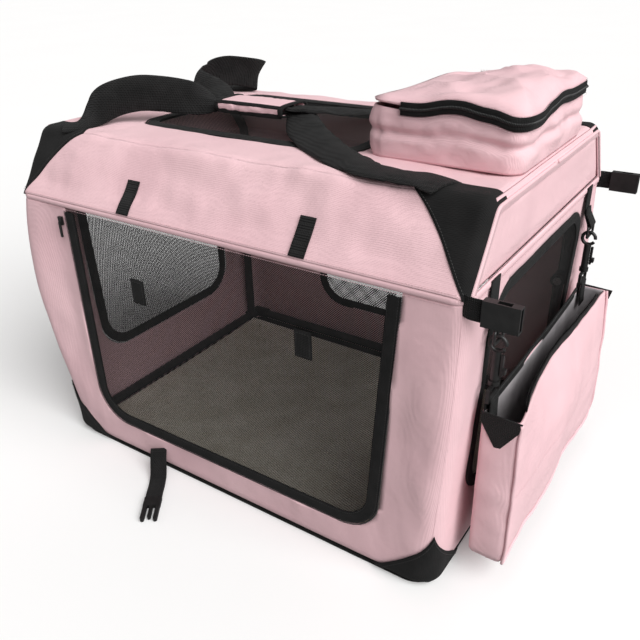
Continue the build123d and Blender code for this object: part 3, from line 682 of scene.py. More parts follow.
def dress(piece, cover, body, nodes=(), fold=None):
    """Gives a piece its material and the body that it moves with."""
    if not piece.data.materials:
        piece.data.materials.append(cover)
    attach(piece, body)
    if fold:
        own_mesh(piece)
    if nodes:
        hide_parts(*nodes)
    return piece


def net_material(name, first, second, pitch=0.0027, cover=0.35):
    """Knitted net: threads on two crossing diagonals, open between. Each covers that share of its pitch."""
    made, tree, shader = new_material(name, (0.012, 0.012, 0.012), 0.6, specular=0.3)
    coords = place_node(tree, "ShaderNodeTexCoord")
    split = place_node(tree, "ShaderNodeSeparateXYZ")
    tree.links.new(coords.outputs["Object"], split.inputs["Vector"])
    waves = []
    for kind in ("ADD", "SUBTRACT"):
        mix = place_node(tree, "ShaderNodeMath", operation=kind)
        tree.links.new(split.outputs[first], mix.inputs[0])
        tree.links.new(split.outputs[second], mix.inputs[1])
        times = place_node(tree, "ShaderNodeMath", operation="MULTIPLY")
        times.inputs[1].default_value = 2 * math.pi / pitch
        wave = place_node(tree, "ShaderNodeMath", operation="COSINE")
        tree.links.new(mix.outputs[0], times.inputs[0])
        tree.links.new(times.outputs[0], wave.inputs[0])
        waves.append(wave)
    most = place_node(tree, "ShaderNodeMath", operation="MAXIMUM")
    tree.links.new(waves[0].outputs[0], most.inputs[0])
    tree.links.new(waves[1].outputs[0], most.inputs[1])
    edge = place_node(tree, "ShaderNodeMapRange")
    edge.inputs["From Min"].default_value = math.cos(math.pi * cover) - 0.12
    edge.inputs["From Max"].default_value = math.cos(math.pi * cover) + 0.12
    tree.links.new(most.outputs[0], edge.inputs["Value"])
    tree.links.new(edge.outputs["Result"], shader.inputs["Alpha"])
    grain = noise_node(tree, 60)
    tint(tree, shader, grain, (0.005, 0.005, 0.005), (0.012, 0.0115, 0.0115))
    bump(tree, shader, waves[0].outputs[0], 0.0003, 0.4)
    return made


net_long = net_material("black_net_long", "X", "Z")
net_end = net_material("black_net_end", "Y", "Z")
net_top = net_material("black_net_top", "X", "Y")

edging, edging_tree, edging_shader = new_material(
    "black_binding_tape", (0.006, 0.006, 0.006), 0.7, sheen=0.03, specular=0.22
)
ribbing = bump(edging_tree, edging_shader, threads(edging_tree, 0.0016), 0.0003, 0.6)
bump(edging_tree, edging_shader, noise_node(edging_tree, 120), 0.0008, 0.4, ribbing)
tint(edging_tree, edging_shader, noise_node(edging_tree, 50), (0.004, 0.004, 0.004), (0.011, 0.0105, 0.0105))

black_thread, t1, s1 = new_material("black_thread", (0.03, 0.03, 0.03), 0.5)
tint(t1, s1, noise_node(t1, 300), (0.02, 0.02, 0.02), (0.055, 0.053, 0.053))
pink_thread, t2, s2 = new_material("pink_thread", (0.8, 0.55, 0.58), 0.6)
tint(t2, s2, noise_node(t2, 300), (0.66, 0.42, 0.45), (0.84, 0.62, 0.65))


def frame_outline(node, inset, radius, slant=0.0, top_inset=None):
    """The rounded outline inside a binding's box, moved in. Its foot is shorter by slant on the +X side."""
    low, high = (Vector(c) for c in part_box(node))
    plane = level_side if node.startswith("roof") else (end_side if low.x > 0.3 or high.x < -0.3 else long_side)
    (a0, b0), (a1, b1) = plane(low), plane(high)
    top = b1 - (inset if top_inset is None else top_inset)
    corner = max(0.004, radius - inset * 0.6)
    tall = (b1 - b0) or 1
    lean = slant * inset / tall
    return rounded(
        [(a0 + inset, b0 + inset), (a1 - slant + lean - inset, b0 + inset), (a1 - inset, top), (a0 + inset, top)],
        [corner, corner, corner if top_inset is None else 0.004, corner if top_inset is None else 0.004],
    )


def net_sheet(name, side, outline, net, seed=0.0):
    """A sheet of net filling an outline, a little slack."""
    a = [p[0] for p in outline]
    b = [p[1] for p in outline]
    columns, rows = round((max(a) - min(a)) / 0.0055), round((max(b) - min(b)) / 0.0055)
    points, keep = [], []
    for j in range(rows + 1):
        for i in range(columns + 1):
            u, v = i / columns, j / rows
            pa, pb = min(a) + (max(a) - min(a)) * u, min(b) + (max(b) - min(b)) * v
            slack = math.sin(math.pi * u) * math.sin(math.pi * v)
            depth = 0.0016 + noise.noise(Vector((pa * 12 + seed, pb * 12, seed))) * 0.0016 * slack
            points.append(on_face(side, pa, pb) - normals[side] * depth)
            keep.append((pa, pb))
    faces = []
    for face in grid_faces(columns + 1, rows + 1):
        ca = sum(keep[n][0] for n in face) / 4
        cb = sum(keep[n][1] for n in face) / 4
        if inside((ca, cb), outline):
            faces.append(face)
    piece = mesh_object(name, points, faces)
    bm = bmesh.new()
    bm.from_mesh(piece.data)
    bmesh.ops.delete(bm, geom=[v for v in bm.verts if not v.link_faces], context="VERTS")
    bm.to_mesh(piece.data)
    bm.free()
    piece.data.materials.append(net)
    return piece


def open_top(line):
    """An outline without its top edge, from the top left corner down and round to the top right one."""
    top = max(b for a, b in line) - 0.0035
    start = max(range(len(line)), key=lambda i: (line[i][1] < top) and (line[i - 1][1] >= top))
    turned = line[start:] + line[:start]
    return [p for p in turned if p[1] < top]


def opened(name, side, node, net_node, body, net, radius, slant=0.0, square_top=False, fold="wall", seed=0.0):
    """A door or window: its binding with two rows of stitches, and the net in it.

    A square top hangs from the ridge."""
    top = 0.0 if square_top else None
    middle = frame_outline(node, band / 2, radius, slant, top)
    if square_top:
        middle = open_top(middle)
    path = [on_face(side, a, b) - normals[side] * (tape_thick / 3) for a, b in middle]
    tape = sweep(f"{name}_edging", path, normals[side], band, tape_thick, closed=not square_top)
    dress(tape, edging, body, [node], fold)
    for row, inset in enumerate((stitch_in, band - stitch_in)):
        line = frame_outline(node, inset, radius, slant, top)
        if square_top:
            line = open_top(line)
        seam = [on_face(side, a, b) + normals[side] * 0.0001 for a, b in line]
        row_of = stitches(f"{name}_stitches_{row}", seam, normals[side], black_thread, not square_top)
        dress(row_of, black_thread, body, fold=fold)
    sheet = net_sheet(f"{name}_net", side, frame_outline(node, 0.006, radius, slant, top), net, seed=seed)
    dress(sheet, net, body, [net_node], fold)


binding_slant = 0.0257  # as door_slant, between the binding's own edges
opened("front_door", "front", "front_door_binding", "front_door_mesh", "front_door", net_long, door_corner,
       binding_slant, True, "door", 1)
opened("left_door", "left", "left_door_binding", "left_door_mesh", "left_door", net_end, door_corner,
       0, True, "door", 2)
opened("right_window", "right", "right_window_binding", "right_window_mesh", "base", net_end, door_corner,
       seed=3)
opened("back_window", "back", "back_window_binding", "back_window_mesh", "base", net_long, door_corner,
       seed=4)

# ---- Zip round the doors ---------------------------------------------------------------------------------------
# A black coil zip shows as a fine ribbed line between each door and its wall; the front one has a pull at the top.

coil, coil_tree, coil_shader = new_material("black_coil", (0.02, 0.02, 0.02), 0.4)
tint(coil_tree, coil_shader, noise_node(coil_tree, 200), (0.008, 0.008, 0.008), (0.025, 0.025, 0.025))
bump(coil_tree, coil_shader, noise_node(coil_tree, 900), 0.0002, 0.4)
coil_size = {"pitch": 0.0018, "long": 0.0011, "thick": 0.0024}

for name, side, node, slant, body in (
    ("front_zip", "front", "front_door_binding", binding_slant, "front_door"),
    ("left_zip", "left", "left_door_binding", 0, "left_door"),
):
    line = frame_outline(node, -0.0008, door_corner + 0.001, slant, 0.0)
    ridge_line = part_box(node)[1][2] - 0.0015
    path = [on_face(side, a, b) + normals[side] * 0.0002 for a, b in line if b < ridge_line]
    first = min(range(len(path)), key=lambda i: (path[i] - path[i - 1]).length * -1)
    path = path[first:] + path[:first]
    teeth = stitches(name, path, normals[side], coil, **coil_size, lift=-0.0002)
    dress(teeth, coil, body, fold="door")

soften(refinish("front_zip_slider", acetal), 0.0006, 2, False)

# ---- Pads on the front door ------------------------------------------------------------------------------------
# Two short webbing pads sewn to the net, where the roll-up straps fasten when the door is open.

webbing, webbing_tree, webbing_shader = new_material(
    "black_webbing", (0.006, 0.006, 0.006), 0.7, sheen=0.04, specular=0.2
)
ribs = bump(webbing_tree, webbing_shader, threads(webbing_tree, 0.0022), 0.0005, 0.8)
bump(webbing_tree, webbing_shader, noise_node(webbing_tree, 80), 0.0008, 0.3, ribs)
tint(webbing_tree, webbing_shader, noise_node(webbing_tree, 40), (0.004, 0.004, 0.004), (0.012, 0.0115, 0.0115))

pads_low, pads_high = (Vector(c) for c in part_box("front_door_pads"))
pad_wide = 0.025
pad_stitch_in = 0.003
for name, x in (("left_pad", pads_low.x + pad_wide / 2), ("right_pad", pads_high.x - pad_wide / 2)):
    line = [Vector((x, -half_w - 0.0002, pads_low.z + (pads_high.z - pads_low.z) * k / 8)) for k in range(9)]
    pad = sweep(name, line, normals["front"], pad_wide, 0.0026)
    dress(pad, webbing, "front_door", ["front_door_pads"], "door")
    half_x, half_z = pad_wide / 2 - pad_stitch_in, (pads_high.z - pads_low.z) / 2 - pad_stitch_in
    mid_z = (pads_high.z + pads_low.z) / 2
    square = [(-half_x, -half_z), (half_x, -half_z), (half_x, half_z), (-half_x, half_z)]
    ring = [Vector((x + a, -half_w - 0.0014, mid_z + b)) for a, b in square]
    dress(stitches(f"{name}_stitches", ring, normals["front"], black_thread, True), black_thread, "front_door",
          fold="door")

# ---- Ridge seam ------------------------------------------------------------------------------------------------
# Walls and shoulders meet in a bulky turned seam that runs all the way round; it is the line that the doors
# hang from.


def seam_ring(inset, z):
    """A level ring round the carrier, its corners rounded as the walls are."""
    hx, hy = end_x(z) - inset, half_w - inset
    return [Vector((x, y, z)) for x, y in rounded([(-hx, -hy), (hx, -hy), (hx, hy), (-hx, hy)], corner_round)]


ring = seam_ring(0.0016, ridge_z)
ring_out = []
for i, p in enumerate(ring):
    run = (ring[(i + 1) % len(ring)] - ring[i - 1]).normalized()
    ring_out.append(Vector((run.y, -run.x, 0)))
ridge_roll = sweep("ridge_seam", ring, ring_out, 0.0088, 0.0046, True, round_profile)
dress(ridge_roll, pink, "ridge", ["ridge_seam_long", "ridge_seam_ends"])
for row, dz in enumerate((-0.0066, 0.0072)):
    line = [p + Vector((0, 0, dz)) + n * 0.0004 for p, n in zip(ring, ring_out)]
    dress(stitches(f"ridge_stitches_{row}", line, ring_out, pink_thread, True), pink_thread, "ridge")

# ---- Shoulders, roof and gables --------------------------------------------------------------------------------
# The padded cover slopes in from the ridge to a flat roof; trapezoid gables close the two ends. The cloth is
# slack between its seams.

shoulder_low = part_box("front_shoulder")[0][2]
shoulder_run, shoulder_rise = half_w - roof_half, roof_z - shoulder_low
slope_long = math.hypot(shoulder_run, shoulder_rise)
turn_long = 0.013  # half of the soft bend from the shoulder to the roof
cover_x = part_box("roof_panel")[1][0]
hem_round = 0.016


def over_roof(side, x, t, lift=0.0):
    """A point of the cover t metres up from the ridge, on the front (side -1) or the back (side 1)."""

    def straight(s):
        if s < slope_long:
            return Vector((half_w - shoulder_run * s / slope_long, shoulder_low + shoulder_rise * s / slope_long))
        return Vector((roof_half - (s - slope_long), roof_z))

    if abs(t - slope_long) < turn_long:
        u = (t - slope_long + turn_long) / (2 * turn_long)
        a, b, c = straight(slope_long - turn_long), straight(slope_long), straight(slope_long + turn_long)
        spot = a.lerp(b, u).lerp(b.lerp(c, u), u)
        run = (b.lerp(c, u) - a.lerp(b, u)).normalized()
    else:
        spot = straight(t)
        run = (straight(t + 0.001) - straight(t)).normalized()
    out = Vector((run.y, -run.x))
    ends = min(1.0, (cover_x - abs(x)) / 0.05)
    fade = ends * min(1.0, abs(t) / 0.025)
    puff = fade * (soft(x, side * t * 1.7, t, 11, 0.0045, side * 3) + soft(x, t, side, 34, 0.0013, 9) - 0.001)
    puff *= 1 - 0.4 * min(1.0, max(0.0, (t - slope_long) / 0.03))
    past = max(0.0, abs(x) - (cover_x - hem_round))
    puff -= hem_round - math.sqrt(max(0.0, hem_round**2 - past**2))
    spot = spot + out * (puff + lift)
    return Vector((x, side * spot.x, spot.y))


cover_columns = [-cover_x + hem_round * k / 5 for k in range(5)]
cover_columns += [-cover_x + hem_round + 2 * (cover_x - hem_round) * k / 150 for k in range(151)]
cover_columns += [cover_x - hem_round * (4 - k) / 5 for k in range(5)]
for side, name in ((-1, "front_shoulder"), (1, "back_shoulder")):
    rows = [slope_long * k / 34 for k in range(35)]
    panel = cut_panel(f"{name}_panel", lambda x, t, s=side: over_roof(s, x, t), cover_columns, rows, [], level_side)
    face_out(panel, (0, 0, 0.3))
    thicken(panel, wall_thick)
    dress(panel, pink, "roof", [name], "roof")

roof_outline = frame_outline("roof_door_binding", -0.0015, 0.03)
roof_rows = [(-1, slope_long + roof_half * k / 64) for k in range(65)]
roof_rows += [(1, slope_long + roof_half * (63 - k) / 64) for k in range(64)]
roof_sheet = cut_panel(
    "roof_cover",
    lambda x, row: over_roof(row[0], x, row[1]),
    cover_columns,
    roof_rows,
    [roof_outline],
    level_side,
)
face_out(roof_sheet, (0, 0, 0.3))
thicken(roof_sheet, wall_thick)
dress(roof_sheet, pink, "roof", ["roof_panel"])

for side, name in ((-1, "left_gable"), (1, "right_gable")):
    points = []
    for j in range(25):
        v = j / 24
        z = shoulder_low + (roof_z - 0.0015 - shoulder_low) * v
        half_y = half_w - shoulder_run * v - 0.0012
        for i in range(97):
            a = -1 + i / 48
            fade = min(1, (1 - abs(a)) * 6) * min(1, v * 5, (1 - v) * 5)
            puff = -hem_round * 0.25 + (0.003 + soft(side, a * half_y, z, 13, 0.004)) * fade
            points.append(Vector((side * (cover_x - 0.0005 + puff), a * (half_y - hem_round * 0.55), z)))
    gable = mesh_object(name, points, grid_faces(97, 25))
    face_out(gable, (0, 0, 0.45))
    thicken(gable, wall_thick)
    dress(gable, pink, "roof", ["gables"], "roof")

for side in (-1, 1):
    for end in (-1, 1):
        rows = [slope_long * k / 40 for k in range(2, 41)] + [slope_long + 0.004 * k for k in range(1, 48)]
        line = [over_roof(side, end * (cover_x - 0.0015), t) for t in rows]
        out = [Vector((end, 0, 0))] * len(line)
        name = f"gable_seam_{'front' if side < 0 else 'back'}_{'left' if end < 0 else 'right'}"
        dress(sweep(name, line, out, 0.0045, 0.0045, profile=round_profile), pink, "roof", fold="roof")

# ---- Roof door -------------------------------------------------------------------------------------------------
# A net panel bound in black in the roof, to reach in from above. A coil zip runs round it.

roof_door_corner = 0.036
opened("roof_door", "roof", "roof_door_binding", "roof_door_mesh", "roof_door", net_top, roof_door_corner,
       0, False, None, 5)
line = [Vector((a, b, roof_z)) for a, b in frame_outline("roof_door_binding", -0.001, roof_door_corner + 0.001)]
teeth = stitches("roof_zip", line, normals["roof"], coil, True, **coil_size, lift=-0.0002)
dress(teeth, coil, "roof")

# ---- Corner patches --------------------------------------------------------------------------------------------
# Black coated cloth wrapped round the eight corners: a scooped piece at each foot, and a long triangle up each
# end of the shoulders, turned over on to the roof.


def solid_normals(piece):
    bm = bmesh.new()
    bm.from_mesh(piece.data)
    bmesh.ops.recalc_face_normals(bm, faces=bm.faces)
    bm.to_mesh(piece.data)
    bm.free()
    return piece


def round_wall(sx, sy, s, z, lift):
    """A point of the wall round one corner; s runs from the long side (negative) round to the end (positive)."""
    hx, hy = end_x(z) + lift, half_w + lift
    if z < foot_round:
        under = foot_round - math.sqrt(max(0.0, foot_round**2 - (foot_round - z) ** 2))
        hx, hy = hx - under, hy - under
    x, y = (hx + min(0.0, s), hy - max(0.0, s))
    r = corner_radius(z) + lift
    cx, cy = hx - r, hy - r
    swell = corner_swell(sx * x, sy * y, z)
    if x > cx and y > cy:
        d = Vector((x - cx, y - cy))
        d = d.normalized() * max(d.x, d.y)
        x, y = cx + d.x, cy + d.y
    return Vector((sx * x + swell.x, sy * y + swell.y, max(z, 0.0004)))


oxford_black, black_tree, black_shader = new_material(
    "black_oxford", (0.007, 0.007, 0.007), 0.75, sheen=0.03, specular=0.2
)
tint(black_tree, black_shader, noise_node(black_tree, 30), (0.005, 0.005, 0.005), (0.011, 0.0105, 0.0105))
bump(black_tree, black_shader, threads(black_tree, 0.0012), 0.0002, 0.5)

foot_wide, foot_tall = 0.092, 0.090
patch_gauge = 0.0016


def foot_height(s):
    """The height of a foot patch's edge, s metres along either side of its corner."""
    u = min(1.0, abs(s) / foot_wide)
    scoop = 1 - u**0.9
    return foot_tall * (scoop * 0.86 + 0.14 * (1 - u) ** 3) * (1 if u < 1 else 0)


for sx in (-1, 1):
    for sy in (-1, 1):
        seed = sx * 2 + sy
        points = []
        for j in range(19):
            for i in range(65):
                s = foot_wide * 0.985 * (i / 32 - 1)
                tall = foot_height(s)
                z = 0.0006 + (tall - 0.0006) * j / 18
                lift = 0.0012 + 0.0008 * math.sin(math.pi * j / 18) + soft(s, z, seed, 40, 0.0009, seed)
                points.append(round_wall(sx, sy, s, z, lift))
        name = f"foot_patch_{'left' if sx < 0 else 'right'}_{'front' if sy < 0 else 'back'}"
        patch = mesh_object(name, points, grid_faces(65, 19))
        face_out(patch, (0, 0, 0.05))
        thicken(patch, patch_gauge)
        dress(patch, oxford_black, "base", ["bottom_corner_patches"], "wall")
        edge, edge_out = [], []
        for i in range(65):
            s = foot_wide * 0.93 * (i / 32 - 1)
            edge.append(round_wall(sx, sy, s, max(0.002, foot_height(s) - 0.005), 0.0022))
            end_share, long_share = (0.7 if s > -0.01 else 0.02), (0.7 if s < 0.01 else 0.02)
            edge_out.append(Vector((sx * end_share, sy * long_share, 0)).normalized())
        dress(stitches(f"{name}_stitches", edge, edge_out, black_thread), black_thread, "base", fold="wall")

peak_wide, peak_strip = 0.092, 0.030


def peak_reach(t):
    """How far in from the gable a top patch reaches, t metres up from the ridge."""
    if t < slope_long:
        u = t / slope_long
        return peak_wide * (0.08 + 0.92 * u) * (1 - 0.1 * math.sin(math.pi * u))
    return peak_wide - 0.012 * (t - slope_long) / peak_strip


for sx in (-1, 1):
    for side in (-1, 1):
        seed = sx * 3 + side
        points = []
        for j in range(41):
            t = -0.001 + (slope_long + peak_strip + 0.001) * j / 40
            for i in range(25):
                x = cover_x - peak_reach(max(0, t)) * (1 - i / 24)
                lift = 0.0014 + soft(x, t, seed, 30, 0.0011, seed)
                points.append(over_roof(side, sx * min(x, cover_x - 0.0004), t, lift))
        name = f"top_patch_{'left' if sx < 0 else 'right'}_{'front' if side < 0 else 'back'}"
        patch = mesh_object(name, points, grid_faces(25, 41))
        face_out(patch, (0, 0, 0.3))
        thicken(patch, patch_gauge)
        dress(patch, oxford_black, "roof", ["top_corner_patches"], "roof")
        edge = []
        for j in range(38):
            t = 0.006 + (slope_long + peak_strip - 0.008) * j / 37
            edge.append(over_roof(side, sx * (cover_x - peak_reach(t) + 0.004), t, 0.0021))
        seam_out = Vector((0, side * shoulder_rise, shoulder_run)).normalized()
        dress(stitches(f"{name}_stitches", edge, seam_out, black_thread), black_thread, "roof", fold="roof")

# ---- Floor cloth -----------------------------------------------------------------------------------------------
# The black cloth that closes the carrier underneath.

cloth_low, cloth_high = (Vector(c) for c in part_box("floor_cover"))
cloth_corner = 0.038
points = []
for j in range(61):
    for i in range(85):
        x = cloth_low.x + (cloth_high.x - cloth_low.x) * i / 84
        y = cloth_low.y + (cloth_high.y - cloth_low.y) * j / 60
        past = Vector((abs(x) - cloth_high.x + cloth_corner, abs(y) - cloth_high.y + cloth_corner))
        if past.x > 0 and past.y > 0 and past.length > 0:
            pull = past - past.normalized() * max(past.x, past.y)
            x, y = x - math.copysign(pull.x, x), y - math.copysign(pull.y, y)
        points.append(Vector((x, y, cloth_high.z - 0.0003 + soft(x, y, 0, 12, 0.0004))))
floor_cloth = mesh_object("floor_cloth", points, grid_faces(85, 61))
thicken(floor_cloth, 0.0012)
dress(floor_cloth, oxford_black, "base", ["floor_cover"])

# ---- Roof pouch ------------------------------------------------------------------------------------------------
# A padded box sewn to the roof. Its lid is a soft crowned panel that hinges at the left; a zip with wide black
# tapes runs round the other three sides and waves where the cloth is slack.

body_low, body_high = (Vector(c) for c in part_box("pouch_body"))
lid_low, lid_high = (Vector(c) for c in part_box("pouch_lid"))
pouch_mid = (body_low + body_high) / 2
pouch_half = (body_high - body_low) / 2
pouch_corner = 0.02
around = 220  # points in one loop of the pouch


def pouch_loop(grow):
    """A level loop of the pouch, rounded at its corners and starting in the middle of the back."""
    hx, hy = pouch_half.x + grow, pouch_half.y + grow
    r = pouch_corner + grow
    path = rounded([(0, hy), (-hx, hy), (-hx, -hy), (hx, -hy), (hx, hy)], [0, r, r, r, r])
    return spaced_count([Vector((x, y, 0)) for x, y in path], around)


def spaced_count(path, count):
    """The closed path again with a fixed number of points."""
    total = sum((path[i] - path[i - 1]).length for i in range(len(path)))
    return spaced(path, total / count, True)[:count]


# places round the pouch, from its front left corner, and how far the zip line rises there
rim_marks = [
    (0.053, 0.0, 0.000), (0.112, 0.0, 0.009), (0.146, 0.0, 0.003), (0.178, 0.0, -0.006),
    (0.186, 0.043, -0.007), (0.186, 0.083, 0.001), (0.186, 0.113, 0.006), (0.186, 0.170, 0.002),
    (0.186, 0.228, 0.003), (0.093, 0.231, 0.003), (0.0, 0.231, 0.001), (0.0, 0.113, 0.0), (0.0, 0.0, 0.003),
]


def rim_wave(x, y):
    """How far the zip line rises or dips at a place round the pouch, measured from its middle."""
    total = weight = 0.0
    for mx, my, rise in rim_marks:
        near = 1 / ((x + pouch_half.x - mx) ** 2 + (y + pouch_half.y - my) ** 2 + 0.0004) ** 1.5
        total, weight = total + rise * near, weight + near
    return total / weight


rows = []
for j in range(22):
    v = j / 21
    loop = pouch_loop(0)
    ring = []
    for i, p in enumerate(loop):
        out = Vector((p.x / pouch_half.x, p.y / pouch_half.y, 0))
        out = Vector((out.x**7, out.y**7, 0)).normalized()
        bulge = 0.0045 * math.sin(math.pi * v) - 0.002 * v - 0.005 * math.exp(-(((v - 0.52) / 0.10) ** 2))
        bulge += soft(p.x, p.y, v * 0.05, 24, 0.006, 2) * math.sin(math.pi * min(1, v * 1.15)) - 0.0015
        bulge += soft(p.x, p.y, v * 0.09, 60, 0.0018, 6) * math.sin(math.pi * v)
        bulge += 0.010 * max(0.0, -p.x / pouch_half.x - 0.9) * 10 * (0.4 + 0.6 * math.sin(math.pi * v))
        z = body_low.z + 0.0002 + (body_high.z - body_low.z) * v + rim_wave(p.x, p.y) * v
        ring.append(Vector((pouch_mid.x + p.x, pouch_mid.y + p.y, z)) + out * bulge)
    rows += ring
pouch = mesh_object("pouch_sides", rows, grid_faces(around, 22, wrap=True))
face_out(pouch, (pouch_mid.x, pouch_mid.y, pouch_mid.z))
thicken(pouch, wall_thick)
dress(pouch, pink, "roof", ["pouch_body"])
pouch_base = mesh_object(
    "pouch_base",
    [Vector((pouch_mid.x + p.x * 0.985, pouch_mid.y + p.y * 0.985, body_low.z + 0.0006)) for p in pouch_loop(0)],
    [tuple(range(around))],
    False,
)
dress(pouch_base, pink, "roof")

rows = []
lid_rows = 44
for j in range(lid_rows):
    share = 1 - j / lid_rows
    loop = pouch_loop(-0.0005)
    for i, p in enumerate(loop):
        e = 1 - share
        crown = 1 - (1 - min(1.0, e / 0.5)) ** 2.2
        along = min(1.0, max(0.0, (p.x * share + pouch_half.x) / (1.5 * pouch_half.x)))
        full = (lid_high.z - lid_low.z - 0.001) * (0.34 + 0.66 * along * along * (3 - 2 * along))
        lift = full * (0.34 + 0.66 * crown)
        if j < 4:
            lift = full * (0.34 * j / 4)
            share = 1 + 0.006 * math.sin(math.pi * j / 8)
        x, y = p.x * share, p.y * share
        deep = min(1.0, e * 5)
        folds_near = noise.noise(Vector((x * 17, y * 17, 4))) * 0.0065
        folds_near += noise.noise(Vector((x * 42, y * 42, 8))) * 0.0022
        ridge_fold = abs(noise.noise(Vector((x * 13 + y * 9, y * 7, 2)))) * -0.008 * deep
        z = lid_low.z + lift + (folds_near + ridge_fold) * deep + rim_wave(p.x, p.y) * (1 - crown)
        rows.append(Vector((pouch_mid.x + x, pouch_mid.y + y, z)))
faces = grid_faces(around, lid_rows, wrap=True)
rows.append(Vector((pouch_mid.x, pouch_mid.y, lid_high.z - 0.003)))
last = (lid_rows - 1) * around
faces += [(last + i, last + (i + 1) % around, len(rows) - 1) for i in range(around)]
lid = mesh_object("pouch_lid_cover", rows, faces)
face_out(lid, (pouch_mid.x, pouch_mid.y, pouch_mid.z))
thicken(lid, wall_thick)
dress(lid, pink, "pouch_lid", ["pouch_lid"])

zip_tape, tape_tree, tape_shader = new_material(
    "black_zip_tape", (0.006, 0.006, 0.006), 0.75, sheen=0.03, specular=0.2
)
weave = bump(tape_tree, tape_shader, threads(tape_tree, 0.0014), 0.0003, 0.5)
bump(tape_tree, tape_shader, noise_node(tape_tree, 70), 0.001, 0.4, weave)
tint(tape_tree, tape_shader, noise_node(tape_tree, 60), (0.004, 0.004, 0.004), (0.010, 0.010, 0.010))
loop = pouch_loop(0.0008)
zip_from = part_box("pouch_zip")[0][0] - pouch_mid.x
first = max(range(around), key=lambda i: (loop[i].x > zip_from) and (loop[i - 1].x <= zip_from) and loop[i].y < 0)
path, outs = [], []
for i in range(around):
    p = loop[(first + i) % around]
    if p.x > zip_from:
        outs.append(Vector(((p.x / pouch_half.x) ** 7, (p.y / pouch_half.y) ** 7, 0)).normalized())
        path.append(Vector((pouch_mid.x + p.x, pouch_mid.y + p.y, body_high.z + 0.0025 + rim_wave(p.x, p.y))))
tape = sweep("pouch_zip_tape", path, outs, 0.015, 0.0022)
dress(tape, zip_tape, "roof", ["pouch_zip"])
line = [p + n * 0.0014 for p, n in zip(path, outs)]
dress(stitches("pouch_zip_coil", line, outs, coil, pitch=0.0017, long=0.0011, thick=0.0036), coil, "roof")
for row, dz in enumerate((-0.0088, 0.0086)):
    line = [p + n * (0.0006 if row else 0.0018) + Vector((0, 0, dz)) for p, n in zip(path, outs)]
    dress(stitches(f"pouch_stitches_{row}", line, outs, pink_thread), pink_thread, "pouch_lid" if row else "roof")

# ---- Side bag --------------------------------------------------------------------------------------------------
# An open-topped bag that hangs by two webbing loops. Its wide front bows out, narrow gussets close the ends, and
# piping runs round the front's edge. Black zip tapes edge the mouth.

bag_low, bag_high = (Vector(c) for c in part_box("side_bag"))
bag_mid = (bag_low + bag_high) / 2
bag_half = (bag_high - bag_low) / 2
bag_rim = bag_high.z
gusset_corner = 0.005


def bag_point(x, y, v):
    """A point of the bag's shell, from its level box loop and height share."""
    z = bag_low.z + (bag_rim - bag_low.z) * v
    a, b = x / bag_half.x, y / bag_half.y
    tuck = (1 - min(1.0, v / 0.16)) ** 2
    y *= 1 - 0.018 * tuck
    across = max(0.0, 1 - b * b)
    if a > 0:
        x += a * (0.010 * math.sin(math.pi * min(1, 0.06 + v * 0.94)) * across**0.7 - 0.004 * tuck)
        x += a * (soft(y, z, 1, 9, 0.006) + soft(y, z, 2, 30, 0.0016))
        x -= a * 0.017 * max(0.0, (v - 0.62) / 0.38) ** 1.6 * (0.25 + 0.75 * across)
    sag = 0.006 * across * v**6
    side_in = -0.004 * math.sin(math.pi * v) * (1 - a * a) * (1 if abs(b) > 0.97 else 0)
    y += math.copysign(side_in + soft(x, z, b, 30, 0.0015), y)
    return Vector((bag_mid.x + x, y, z - sag))


bag_outline = [
    Vector((x, y, 0))
    for x, y in rounded(
        [
            (-bag_half.x, -bag_half.y),
            (bag_half.x, -bag_half.y),
            (bag_half.x, bag_half.y),
            (-bag_half.x, bag_half.y),
        ],
        gusset_corner,
        6,
    )
]
bag_around = 260
bag_outline = spaced_count(bag_outline, bag_around)
rows = []
foot = 8
for j in range(foot):
    share = math.sin(math.pi / 2 * (j + 0.5) / foot)
    drop = 1 - math.cos(math.pi / 2 * (j + 0.5) / foot)
    for p in bag_outline:
        shrink = 0.012 * (1 - share)
        x = math.copysign(max(0, abs(p.x) - shrink), p.x)
        y = math.copysign(max(0, abs(p.y) - shrink), p.y)
        spot = bag_point(x, y, 0)
        rows.append(spot + Vector((0, 0, 0.010 * drop)))
for j in range(46):
    v = 0.05 + 0.95 * j / 45
    rows += [bag_point(p.x, p.y, v) for p in bag_outline]
faces = grid_faces(bag_around, foot + 46, wrap=True)
faces.append(tuple(reversed(range(bag_around))))
side_bag = mesh_object("side_bag_shell", rows, faces)
solid_normals(side_bag)
face_out(side_bag, bag_mid)
lining, lining_tree, lining_shader = new_material("grey_lining", (0.4, 0.38, 0.38), 0.7)
tint(lining_tree, lining_shader, noise_node(lining_tree, 30), (0.3, 0.28, 0.29), (0.46, 0.43, 0.44))
bump(lining_tree, lining_shader, noise_node(lining_tree, 60, 4), 0.002, 0.4)
side_bag.data.materials.append(pink)
side_bag.data.materials.append(lining)
thicken(side_bag, 0.0026)
side_bag.modifiers["cloth"].material_offset = 1
side_bag.modifiers["cloth"].material_offset_rim = 0
dress(side_bag, pink, "side_bag", ["side_bag"])

